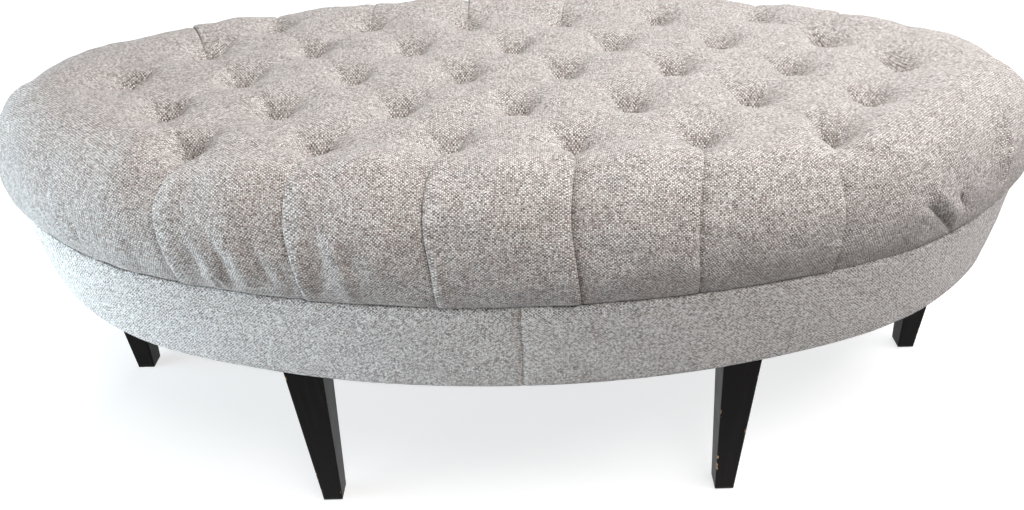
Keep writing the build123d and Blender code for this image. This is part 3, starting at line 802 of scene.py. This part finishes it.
def loop_edges(count, first=0):
    """Edges of a closed loop of points."""
    return [(first + index, first + (index + 1) % count) for index in range(count)]


def triangulate(points, edges):
    """Triangles over plan points that keep the given edges: places, faces and given points of each."""
    given = [Vector(point) for point in points]
    verts, out_edges, faces, sources, *rest = delaunay_2d_cdt(given, edges, [], 1, MERGE_DISTANCE)
    return np.array([tuple(vert) for vert in verts]), faces, sources


def middle_faces(loop, corners, tufts, step):
    """Triangles over the middle of the top.

    Returns new points and the faces, whose first indices are the loop's.
    """
    lattice = lattice_points(step)
    rings = []
    for x, y in tufts:
        lattice = lattice[np.hypot(lattice[:, 0] - x, lattice[:, 1] - y) > RING_ROOM * step]
        rings.append(((x, y),))
        for radius, count in TUFT_RINGS:
            turn = np.arange(count) * 2 * math.pi / count + radius
            reach = radius * step
            rings.append(np.column_stack([x + reach * np.cos(turn), y + reach * np.sin(turn)]))
    fill = np.vstack([lattice] + rings)
    away, share = line_distance(fill, np.vstack([corners, corners[:1]]))
    near_tuft = np.min([np.hypot(fill[:, 0] - x, fill[:, 1] - y) for x, y in corners], 0)
    clear = away > np.clip(near_tuft * 0.18, 0.5, 0.6 * step)
    fill = fill[clear & inside_loop(fill, corners)]
    every, faces, sources = triangulate(np.vstack([loop, fill]), loop_edges(len(loop)))
    index = [source[0] for source in sources]
    return fill, [tuple(index[corner] for corner in face) for face in faces]


def skirt_rows(seam, inset):
    """Rows of points that turn in from the seam under the band's top edge."""
    along, outside, normal = outline_place(seam[:, :2])
    rows = []
    for shift, drop in SKIRT_ROWS:
        tuck = SEAM_INSET + shift + inset - SEAM_FULLNESS * math.exp(drop / FULLNESS_FADE)
        plan = seam[:, :2] - normal * (outside + tuck)[:, None]
        rows.append(np.column_stack([plan, np.full(len(seam), SEAM_Z + drop)]))
    return rows


def border_cloth(cloths, quads, per_panel):
    """Where the corners of the border's faces are cut from.

    Each panel's cloth lies on its own, so the weave keeps its size down the side.
    """
    panels = []
    for cloth in cloths:
        step = cloth[-1:] - cloth[-2:-1]
        skirt = [cloth[-1:] + step * (turn + 1) for turn in range(len(SKIRT_ROWS))]
        panels.append(np.concatenate([cloth] + skirt, 0))
    panels = np.stack(panels)
    row, column = np.divmod(np.arange(quads), per_panel * len(PLEATS))
    panel, inner = np.divmod(column, per_panel)
    corners = ((0, 0), (1, 0), (1, 1), (0, 1))
    return np.stack([panels[panel, row + down, inner + right] for down, right in corners], 1)


def build_top(name):
    """A layer of the stuffed top with its skirt."""
    rows, middle, step, folded, inset, deeper, fullness = TOP_LAYERS[name]
    tufts = tuft_places()
    plan, rise, shares, cloths = border_grid(rows, middle, folded)
    columns = plan.shape[1]
    per_panel = columns // len(PLEATS)
    flat = plan.reshape(-1, 2)
    height = top_heights(flat, tufts, folded, deeper).reshape(rows, columns)
    added = panel_puff(shares, per_panel, fullness * np.array(PANEL_PUFFS))
    added += pleat_valley(shares, per_panel)
    if folded:
        added += rise
    height += added * (1 - pit_depths(flat, tufts).reshape(rows, columns))
    height *= 1 - SEAM_FLATTENING * smooth_step(shares, 0.93, 1.0)[:, None]
    height += SEAM_FULLNESS * smooth_step(shares, 0.86, 1.0)[:, None]
    border = lift(flat, height.ravel() - inset)
    outer = np.vstack([border] + skirt_rows(border[-columns:], inset))
    loop = plan[0]
    fill, triangles = middle_faces(loop, loop[::per_panel], tufts, step)
    inner = lift(fill, top_heights(fill, tufts, folded, deeper) - inset)
    quads = grid_faces(rows + len(SKIRT_ROWS), columns, True)
    shift = len(outer) - columns
    faces = quads + [
        tuple(corner if corner < columns else corner + shift for corner in face) for face in triangles
    ]
    quad_cloth = border_cloth(cloths, len(quads), per_panel).reshape(-1, 2)
    triangle_cloth = np.vstack([loop, fill])[np.array(triangles).ravel()]
    cut = np.vstack([quad_cloth, triangle_cloth]) * MM
    return make_mesh(name, np.vstack([outer, inner]), faces, cut)


def band_sections():
    """Inset, height and share of unevenness of each row of the band, from its tail to its hem."""
    top = BAND_SECTION[-1][1]
    foot = BAND_FOOT_SECTION[0][1]
    heights = np.linspace(top, foot, BAND_ROWS + 2)[1:-1]
    face = [(0.0, height, 1.0) for height in heights]
    return np.array(BAND_SECTION + tuple(face) + BAND_FOOT_SECTION)


def build_band(name, first, last, seed):
    """One length of the band's cloth between two places along the outline.

    Returns it with the length and the width of its cloth in metres.
    """
    section = band_sections()
    crowded = (1 - np.cos(np.linspace(0, np.pi, BAND_COLUMNS))) / 2
    even = np.linspace(0, 1, BAND_COLUMNS)
    along = first + (last - first) * (BAND_CROWDING * crowded + (1 - BAND_CROWDING) * even)
    rows, columns = len(section), len(along)
    steps = np.hypot(np.diff(section[:, 0]), np.diff(section[:, 1]))
    run = np.concatenate([[0], np.cumsum(steps)])
    grid_along = np.repeat(along[None], rows, 0)
    grid_z = np.repeat(section[:, 1:2], columns, 1)
    share = np.repeat(section[:, 2:3], columns, 1)
    part = (grid_z - CLEARANCE) / (SEAM_Z - CLEARANCE)
    bulge = BAND_BULGE * np.sin(np.pi * np.clip(part, 0, 1)) ** 0.7
    flat = np.column_stack([grid_along.ravel(), grid_z.ravel()])
    uneven = lumps(flat, seed, BAND_LUMPS).reshape(rows, columns)
    # The two lengths meet in a sewn seam: both edges turn in over a few millimetres
    from_end = np.minimum(grid_along - first, last - grid_along)
    turn_in = SEAM_TURN[0] * np.exp(-((from_end / SEAM_TURN[1]) ** 1.3))
    turn_in += SEAM_HOLLOW[0] * np.exp(-((from_end / SEAM_HOLLOW[1]) ** 2))
    wave = lumps(np.column_stack([along, 0 * along]), seed + 3, BAND_EDGE_LUMPS)
    top_share = smooth_step(grid_z, SEAM_Z - BAND_EDGE_REACH, SEAM_Z)
    out = -section[:, 0:1] + share * (bulge + uneven - turn_in)
    plan, normal = outline_point(grid_along.ravel(), out.ravel())
    points = np.column_stack([plan, (grid_z + top_share * wave[None]).ravel()])
    faces = [tuple(reversed(face)) for face in grid_faces(rows, columns, False)]
    cloth = np.stack([grid_along, np.repeat(-run[:, None], columns, 1)], 2).reshape(-1, 2) * MM
    piece = make_mesh(name, points, faces, cloth[np.array(faces).ravel()])
    return piece, float(last - first) * MM, float(run[-1]) * MM


def leg_section(half, radius):
    """Points round a square with rounded arrises, and how near each is to an arris."""
    signs = ((1, 1), (-1, 1), (-1, -1), (1, -1))
    points = []
    nearness = []

    def arris_point(corner, angle):
        along, across = signs[corner % 4]
        return (
            (half - radius) * along + radius * math.cos(angle),
            (half - radius) * across + radius * math.sin(angle),
        )

    for corner in range(4):
        turn = corner * math.pi / 2
        for step in range(LEG_EDGE_STEPS + 1):
            points.append(arris_point(corner, turn + step * math.pi / 2 / LEG_EDGE_STEPS))
            nearness.append(1.0)
        start = np.array(points[-1])
        end = np.array(arris_point(corner + 1, turn + math.pi / 2))
        for share, near in LEG_SIDE_POINTS:
            points.append(tuple(start + (end - start) * share))
            nearness.append(near)
    return np.array(points), nearness


def build_leg(name, x, y, splay_x, splay_y):
    """Square tapered leg with softened arrises."""
    rows = []
    arris = []
    for row in range(LEG_ROWS):
        share = row / (LEG_ROWS - 1)
        z = LEG_FOOT_Z + (CLEARANCE - LEG_FOOT_Z) * share
        half = 0.5 * (LEG_FOOT + (LEG_TOP - LEG_FOOT) * share)
        section, near = leg_section(half, LEG_EDGE)
        middle = (x + splay_x * (1 - share), y + splay_y * (1 - share))
        rows.append(np.column_stack([section + middle, np.full(len(section), z)]))
        arris += near
    columns = len(rows[0])
    faces = [tuple(reversed(face)) for face in grid_faces(LEG_ROWS, columns, True)]
    faces.append(tuple(reversed(range(columns))))
    faces.append(tuple(range((LEG_ROWS - 1) * columns, LEG_ROWS * columns)))
    leg = make_mesh("leg_" + name + "_wood", np.vstack(rows), faces)
    for face in leg.data.polygons[-2:]:
        face.use_smooth = False
    layer = leg.data.attributes.new("arris", "FLOAT", "POINT")
    layer.data.foreach_set("value", np.asarray(arris, np.float32))
    return leg


def leg_gap(points):
    """Distance of points outside the nearest square that is cut out for a leg."""
    gaps = [
        np.maximum(np.abs(points[:, 0] - x), np.abs(points[:, 1] - y)) - LEG_ROOM
        for x, y, splay_x, splay_y in LEG_PLACES.values()
    ]
    return np.min(gaps, 0)


def build_dust_cover():
    """Thin black cloth stapled under the frame, cut out round the legs and sagging between."""
    rim, normal = outline_point(np.linspace(0, PERIMETER, DUST_RIM_POINTS, endpoint=False), -DUST_INSET)
    side = np.linspace(-LEG_ROOM, LEG_ROOM, LEG_ROOM_POINTS + 1)[:-1]
    square = [(s, -LEG_ROOM) for s in side] + [(LEG_ROOM, s) for s in side]
    square += [(-s, LEG_ROOM) for s in side] + [(-LEG_ROOM, -s) for s in side]
    loops = [rim]
    edges = loop_edges(len(rim))
    for x, y, splay_x, splay_y in LEG_PLACES.values():
        edges += loop_edges(len(square), sum(len(loop) for loop in loops))
        loops.append(np.array(square) + (x, y))
    fill = lattice_points(DUST_STEP)
    along, outside, normal = outline_place(fill)
    fill = fill[(outside < -DUST_INSET - 0.5 * DUST_STEP) & (leg_gap(fill) > 0.4 * DUST_STEP)]
    every, faces, sources = triangulate(np.vstack(loops + [fill]), edges)
    middles = every[np.array(faces)].mean(1)
    kept = [tuple(reversed(face)) for face, gap in zip(faces, leg_gap(middles)) if gap >= 0]
    along, outside, normal = outline_place(every)
    held = smooth_step(-outside, DUST_HELD, DUST_FREE)
    swing = 0.75 + 0.25 * np.cos(every[:, 0] * 2 * math.pi / DUST_SAG_LENGTH)
    sway = DUST_WRINKLE_SWAY[0] * np.sin(every[:, 1] / DUST_WRINKLE_SWAY[1])
    wrinkle = np.sin(every[:, 0] / DUST_WRINKLE_RUN + sway)
    height = DUST_Z - held * (DUST_SAG * swing + DUST_WRINKLE * wrinkle)
    cut = every[np.array(kept).ravel()] * MM
    return make_mesh("dust_cover_cloth", np.column_stack([every, height]), kept, cut)


def srgb(red, green, blue):
    """A colour as it looks on screen, from 0 to 255, turned into shader values."""
    def linear(value):
        share = value / 255
        return share / 12.92 if share <= 0.04045 else ((share + 0.055) / 1.055) ** 2.4
    return linear(red), linear(green), linear(blue)


def add_node(tree, kind, inputs=None, **settings):
    """A shader node with its settings. An input is a value or the socket that feeds it."""
    made = tree.nodes.new("ShaderNode" + kind)
    for key, value in settings.items():
        setattr(made, key, value)
    for key, value in (inputs or {}).items():
        if isinstance(value, bpy.types.NodeSocket):
            tree.links.new(value, made.inputs[key])
        else:
            made.inputs[key].default_value = value
    return made


def empty_tree(owner):
    """The node tree of a material or world, emptied."""
    owner.use_nodes = True
    owner.node_tree.nodes.clear()
    return owner.node_tree


class Nodes:
    """Short calls for building one material's nodes."""

    def __init__(self, name):
        self.material = bpy.data.materials.new(name)
        self.tree = empty_tree(self.material)
        self.shader = self.node("BsdfPrincipled")
        self.node("OutputMaterial", {"Surface": self.shader.outputs[0]})
        self.place = self.node("TexCoord").outputs["Object"]

    def node(self, kind, inputs=None, **settings):
        return add_node(self.tree, kind, inputs, **settings)

    def math(self, operation, first, second=0.0, third=0.5, clamp=False):
        inputs = {0: first, 1: second, 2: third}
        return self.node("Math", inputs, operation=operation, use_clamp=clamp).outputs[0]

    def vector(self, operation, inputs):
        return self.node("VectorMath", inputs, operation=operation).outputs[0]

    def weighted(self, total, *parts):
        """A value with each part added to it by its weight."""
        for value, weight in parts:
            total = self.math("MULTIPLY_ADD", value, weight, total)
        return total

    def noise(self, vector, scale, detail=3.0, rough=0.5, distortion=0.0):
        inputs = {"Vector": vector, "Scale": scale, "Detail": detail, "Roughness": rough,
                  "Distortion": distortion}
        return self.node("TexNoise", inputs).outputs["Fac"]

    def stretched_noise(self, scale, detail, rough=0.5, distortion=0.0):
        """Noise with a scale of its own along each axis of the piece."""
        vector = self.node("Mapping", {"Vector": self.place, "Scale": scale}).outputs[0]
        return self.noise(vector, 1.0, detail, rough, distortion)

    def ramp(self, fac, stops):
        made = self.node("ValToRGB", {"Fac": fac})
        elements = made.color_ramp.elements
        while len(elements) < len(stops):
            elements.new(0.5)
        for element, (place, colour) in zip(elements, stops):
            element.position = place
            element.color = (*colour, 1.0)
        return made.outputs["Color"]

    def two_tone(self, fac, light, dark, low=0.3, high=0.7):
        return self.ramp(fac, ((low, srgb(*dark)), (high, srgb(*light))))

    def mix(self, fac, first, second):
        return self.node("Mix", {0: fac, 6: first, 7: second}, data_type="RGBA").outputs[2]

    def bump(self, height, distance, strength):
        inputs = {"Height": height, "Distance": distance, "Strength": strength}
        return self.node("Bump", inputs).outputs[0]

    def set(self, **values):
        for key, value in values.items():
            socket = self.shader.inputs[key.replace("_", " ")]
            if isinstance(value, bpy.types.NodeSocket):
                self.tree.links.new(value, socket)
            else:
                socket.default_value = value
        return self.material


def upholstery_cloth(name, pitch, painted_light, contrast, grain_scale):
    """Heathered greige plain weave of thick yarns.

    The number after the pitch is painted light added to its tone, for a more brightly lit copy.
    contrast is how strongly its yarns stand out. grain_scale sets how fine the slubs of its yarns are.
    """
    n = Nodes(name)
    uv = n.node("UVMap", uv_map="UVMap").outputs[0]
    # A little wander keeps the yarns from lying as ruled lines
    wander = n.node("TexNoise", {"Vector": uv, "Scale": 120.0, "Detail": 2.0}).outputs["Color"]
    wander = n.vector("SUBTRACT", {0: wander, 1: (0.5, 0.5, 0.5)})
    wander = n.vector("SCALE", {0: wander, "Scale": YARN_WANDER})
    cloth = n.vector("ADD", {0: uv, 1: wander})
    yarns_per_metre = (1 / pitch[0], 1 / pitch[1], 1.0)
    yarns = n.node("Mapping", {"Vector": cloth, "Scale": yarns_per_metre}).outputs[0]
    parts = n.node("SeparateXYZ", {0: yarns}).outputs
    across = n.math("COSINE", n.math("MULTIPLY", parts[0], math.pi))
    down = n.math("COSINE", n.math("MULTIPLY", parts[1], math.pi))
    # Above 0 the weft lies on top, below 0 the warp does, and the gaps are at 0
    floats = n.math("MULTIPLY", across, down)
    # Rounded form of each float: a real bump, and in the tone painted shade, darker in the gaps between
    # floats
    body = n.math("POWER", n.math("ABSOLUTE", floats), 0.5)
    middle = n.vector("ADD", {0: yarns, 1: (0.5, 0.5, 0.5)})
    cell = n.vector("FLOOR", {0: middle})
    shade = n.node("TexWhiteNoise", {"Vector": cell}, noise_dimensions="2D").outputs["Value"]
    fibre = n.noise(n.place, 1500.0, 1.0)
    grain = n.noise(n.place, grain_scale, 1.0)
    mottle = n.noise(n.place, 30.0, 3.0, 0.55)
    # The mean is taken off the sum of the parts, so that contrast turns about the middle tone
    tone = n.weighted(
        -MEAN_TONE, (floats, FLOAT_TONE), (shade, YARN_TONE), (body, PAINTED_GAP_SHADE),
        (fibre, FIBRE_TONE), (grain, GRAIN_TONE), (mottle, MOTTLE_TONE),
    )
    # Painted light: the number after the pitch lifts the whole tone, for a more brightly lit copy of the
    # cloth
    tone = n.math("MULTIPLY_ADD", tone, contrast, 0.5 + painted_light)
    colour = n.ramp(tone, (
        (0.05, srgb(62, 54, 50)),
        (0.50, srgb(174, 165, 160)),
        (0.80, srgb(232, 229, 227)),
        (1.00, srgb(250, 250, 249)),
    ))
    height = n.weighted(body, (shade, 0.4), (floats, 0.25), (grain, 1.2))
    rough = n.weighted(0.8, (fibre, 0.15))
    return n.set(Base_Color=colour, Roughness=rough, Normal=n.bump(height, 0.0008, 0.8),
                 Sheen_Weight=0.12, Sheen_Roughness=0.5, Sheen_Tint=(0.93, 0.96, 1.0, 1.0),
                 Specular_IOR_Level=0.15)


def stained_wood():
    """Espresso-stained hardwood under semi-gloss lacquer, rubbed through to tan along the arrises."""
    n = Nodes("espresso_wood")
    grain = n.stretched_noise((190.0, 190.0, 9.0), 5.0, 0.62, 0.6)
    pores = n.stretched_noise((900.0, 900.0, 34.0), 2.0, 0.6)
    stain = n.ramp(grain, (
        (0.30, srgb(8, 6, 6)),
        (0.52, srgb(13, 10, 10)),
        (0.75, srgb(22, 17, 16)),
    ))
    # Only the brightest chips near an arris pass the narrow ramp and show bare wood
    wear = n.node("Attribute", attribute_name="arris").outputs["Fac"]
    chips = n.noise(n.place, 95.0, 4.0, 0.62)
    long_chips = n.stretched_noise((60.0, 60.0, 22.0), 4.0, 0.6)
    worn = n.weighted(-0.20, (chips, 0.6), (long_chips, 0.5))
    bare = n.ramp(n.math("MULTIPLY", wear, worn), ((0.425, (0.0, 0.0, 0.0)), (0.455, (1.0, 1.0, 1.0))))
    colour = n.mix(bare, stain, n.two_tone(pores, (196, 164, 126), (132, 102, 74)))
    rough = n.weighted(0.27, (n.noise(n.place, 26.0), 0.16), (bare, 0.3))
    height = n.weighted(0.0, (grain, 0.4), (bare, -0.8), (pores, 0.25))
    return n.set(Base_Color=colour, Roughness=rough, Normal=n.bump(height, 0.0004, 0.6),
                 Specular_IOR_Level=0.05)


def plain_wood(name, light, dark, rough_value, scale):
    """Bare timber or board with long grain."""
    n = Nodes(name)
    grain = n.stretched_noise(scale, 5.0, 0.6, 0.8)
    fine = n.noise(n.place, 700.0, 2.0)
    normal = n.bump(n.weighted(grain, (fine, 0.3)), 0.0004, 0.5)
    rough = n.weighted(rough_value, (fine, 0.15))
    return n.set(Base_Color=n.two_tone(grain, light, dark), Roughness=rough, Normal=normal)


def plywood():
    """Birch plywood: pale face grain, and plies on the edges."""
    n = Nodes("plywood")
    grain = n.stretched_noise((5.0, 90.0, 40.0), 5.0, 0.6, 0.8)
    height = n.node("SeparateXYZ", {0: n.place}).outputs[2]
    plies = n.math("SINE", n.math("MULTIPLY", height, 2 * math.pi / PLY_PAIR))
    tilt = n.node("SeparateXYZ", {0: n.node("NewGeometry").outputs["Normal"]}).outputs[2]
    edge = n.math("SUBTRACT", 1.0, n.math("ABSOLUTE", tilt), clamp=True)
    tone = n.weighted(grain, (n.math("MULTIPLY", plies, edge), 0.12))
    colour = n.two_tone(tone, (216, 188, 148), (176, 142, 100))
    rough = n.weighted(0.55, (grain, 0.2))
    return n.set(Base_Color=colour, Roughness=rough, Normal=n.bump(tone, 0.0004, 0.4))


def fibrous(name, light, dark, scale, rough_value, depth):
    """Foam, wadding, card or felted cloth: a fine uneven surface."""
    n = Nodes(name)
    cells = n.noise(n.place, scale, 4.0, 0.65)
    broad = n.noise(n.place, scale / 18, 2.0)
    tone = n.weighted(0.0, (cells, 0.7), (broad, 0.3))
    rough = n.weighted(rough_value, (cells, 0.1))
    return n.set(Base_Color=n.two_tone(tone, light, dark), Roughness=rough,
                 Normal=n.bump(cells, depth, 0.7))


def steel(name, light, dark, rough_value):
    """Drawn or plated steel with fine scratches and dulled patches."""
    n = Nodes(name)
    scratches = n.stretched_noise((1800.0, 260.0, 260.0), 3.0)
    patches = n.noise(n.place, 160.0)
    rough = n.weighted(rough_value, (scratches, 0.2))
    return n.set(Base_Color=n.two_tone(patches, light, dark), Roughness=rough, Metallic=1.0,
                 Normal=n.bump(scratches, 0.0002, 0.4))


def nylon():
    """Moulded nylon, slightly mottled and scuffed."""
    n = Nodes("nylon")
    scuffs = n.stretched_noise((500.0, 120.0, 500.0), 3.0)
    colour = n.two_tone(n.noise(n.place, 120.0), (222, 218, 206), (196, 190, 176))
    rough = n.weighted(0.3, (scuffs, 0.3))
    return n.set(Base_Color=colour, Roughness=rough, Normal=n.bump(scuffs, 0.0002, 0.4))


def twine():
    """Waxed twine in the cloth's greige, with a twist."""
    n = Nodes("twine")
    parts = n.node("SeparateXYZ", {0: n.place}).outputs
    turns = n.math("ADD", n.math("ADD", parts[0], parts[1]), parts[2])
    twist = n.math("SINE", n.math("MULTIPLY", turns, 2 * math.pi / TWIST))
    tone = n.weighted(0.3, (twist, 0.18), (n.noise(n.place, 1400.0), 0.4))
    colour = n.two_tone(tone, (176, 167, 160), (112, 102, 95), 0.2, 0.8)
    return n.set(Base_Color=colour, Roughness=0.75, Normal=n.bump(tone, 0.0003, 0.6))


def make_materials():
    """The material of each slot of the record, and the band's copy of the cloth, lighter by painted
    light.
    """
    made = {
        "upholstery_cloth": upholstery_cloth("upholstery_cloth", TOP_YARNS, 0.0, 1.1, 900.0),
        # The band's copy is lighter by painted light, standing in for the brighter light on the band
        "band_cloth": upholstery_cloth("upholstery_cloth_band", BAND_YARNS, 0.17, 1.75, 780.0),
        "espresso_wood": stained_wood(),
        "plywood": plywood(),
        "nylon": nylon(),
        "twine": twine(),
    }
    for function, rows in ((fibrous, FIBROUS), (plain_wood, WOODS), (steel, STEELS)):
        for name, values in rows.items():
            made[name] = function(name, *values)
    return made


def camera_rays(tree):
    """1 where the camera, a reflection or glass sees the surface, else 0."""
    path = add_node(tree, "LightPath").outputs
    seen = path["Is Camera Ray"]
    for name in ("Is Glossy Ray", "Is Transmission Ray"):
        seen = add_node(tree, "Math", {0: seen, 1: path[name]}, operation="MAXIMUM").outputs[0]
    return seen


def build_floor():
    """Pale floor that runs to white and keeps the object's shadow."""
    material = bpy.data.materials.new("floor_white")
    tree = empty_tree(material)
    # The glow grows away from the object, where the lights no longer reach
    place = add_node(tree, "TexCoord").outputs["Object"]
    reach = add_node(tree, "VectorMath", {0: place}, operation="LENGTH").outputs["Value"]
    limits = {"Value": reach, **FLOOR_GLOW}
    growth = add_node(tree, "MapRange", limits, interpolation_type="SMOOTHSTEP").outputs["Result"]
    strength = add_node(tree, "Math", {0: camera_rays(tree), 1: growth}, operation="MULTIPLY")
    glow = add_node(tree, "Emission", {"Strength": strength.outputs[0]})
    diffuse = add_node(tree, "BsdfDiffuse", {"Color": FLOOR_COLOUR})
    added = add_node(tree, "AddShader", {0: diffuse.outputs[0], 1: glow.outputs[0]})
    add_node(tree, "OutputMaterial", {"Surface": added.outputs[0]})
    corners = [(-1, -1, 0), (1, -1, 0), (1, 1, 0), (-1, 1, 0)]
    floor = make_mesh("floor", np.array(corners) * FLOOR_HALF, [(0, 1, 2, 3)], smooth=False)
    floor.data.materials.append(material)


def build_world():
    """White to the camera, soft pale light to the object."""
    world = bpy.data.worlds.new("studio")
    bpy.context.scene.world = world
    tree = empty_tree(world)
    seen = add_node(tree, "Background", {"Color": (1.0, 1.0, 1.0, 1.0), "Strength": 1.0})
    given = add_node(tree, "Background", {"Color": WORLD_COLOUR, "Strength": WORLD_STRENGTH})
    sides = {0: camera_rays(tree), 1: given.outputs[0], 2: seen.outputs[0]}
    mixed = add_node(tree, "MixShader", sides)
    add_node(tree, "OutputWorld", {"Surface": mixed.outputs[0]})


def build_lights():
    """Two soft lights overhead, two low on the left and a weak one on the right."""
    for name, (place, target, size, power, colour) in LIGHTS.items():
        data = bpy.data.lights.new(name, "AREA")
        data.shape = "RECTANGLE"
        data.size, data.size_y = size
        data.energy = power
        data.color = colour
        light = bpy.data.objects.new(name, data)
        direction = (Vector(target) - Vector(place)).normalized()
        turn = direction.to_track_quat("-Z", "Y").to_matrix().to_4x4()
        light.matrix_world = Matrix.Translation(place) @ turn
        bpy.context.scene.collection.objects.link(light)


def build_camera():
    """Camera at the photograph's place and angle."""
    level_forward = Vector((math.sin(CAMERA_YAW), math.cos(CAMERA_YAW), 0.0))
    forward = level_forward * math.cos(CAMERA_PITCH) - Vector((0.0, 0.0, math.sin(CAMERA_PITCH)))
    level_right = Vector((math.cos(CAMERA_YAW), -math.sin(CAMERA_YAW), 0.0))
    level_up = level_right.cross(forward)
    right = level_right * math.cos(CAMERA_ROLL) + level_up * math.sin(CAMERA_ROLL)
    up = level_up * math.cos(CAMERA_ROLL) - level_right * math.sin(CAMERA_ROLL)
    data = bpy.data.cameras.new("camera")
    data.sensor_width = CAMERA_SENSOR
    data.lens = CAMERA_LENS
    data.shift_x, data.shift_y = CAMERA_SHIFT
    camera = bpy.data.objects.new("camera", data)
    turn = Matrix((right, up, -forward)).transposed().to_4x4()
    camera.matrix_world = Matrix.Translation(CAMERA_PLACE) @ turn
    bpy.context.scene.collection.objects.link(camera)
    bpy.context.scene.camera = camera


def dress_nodes(materials):
    """Gives every CAD node that still shows its own material."""
    for row in frame["record"]["subparts"]:
        node = frame["nodes"][row["node"]]
        node.data.materials.clear()
        node.data.materials.append(materials[row["material_slot"]])


def build_all():
    """Everything in the scene."""
    materials = make_materials()
    dress_nodes(materials)

    cover = build_top("tufted_cloth")
    finish_piece(cover, materials["upholstery_cloth"], ["tufted_cover"])
    wadding = build_top("wadding_layer")
    finish_piece(wadding, materials["wadding"], ["batting"])
    core = build_top("foam_core")
    finish_piece(core, materials["foam"], ["foam_pad"])

    # The two lengths of the band meet at the middle of the back and of the front
    back = ARC_STARTS[2] + ARC_LENGTHS[2] / 2
    half = PERIMETER / 2
    for side, first, seed in (("left", back, 11), ("right", back + half, 23)):
        band, length, width = build_band("band_cloth_" + side, first, first + half, seed)
        finish_piece(band, materials["band_cloth"], ["band_cover_" + side])

    for name, place in LEG_PLACES.items():
        leg = build_leg(name, *place)
        finish_piece(leg, materials["espresso_wood"], ["leg_" + name])

    dust = build_dust_cover()
    finish_piece(dust, materials["dust_cloth"], ["dust_cover"])

    build_floor()
    build_world()
    build_lights()
    build_camera()
    bpy.context.scene.view_settings.view_transform = "Standard"


build_all()
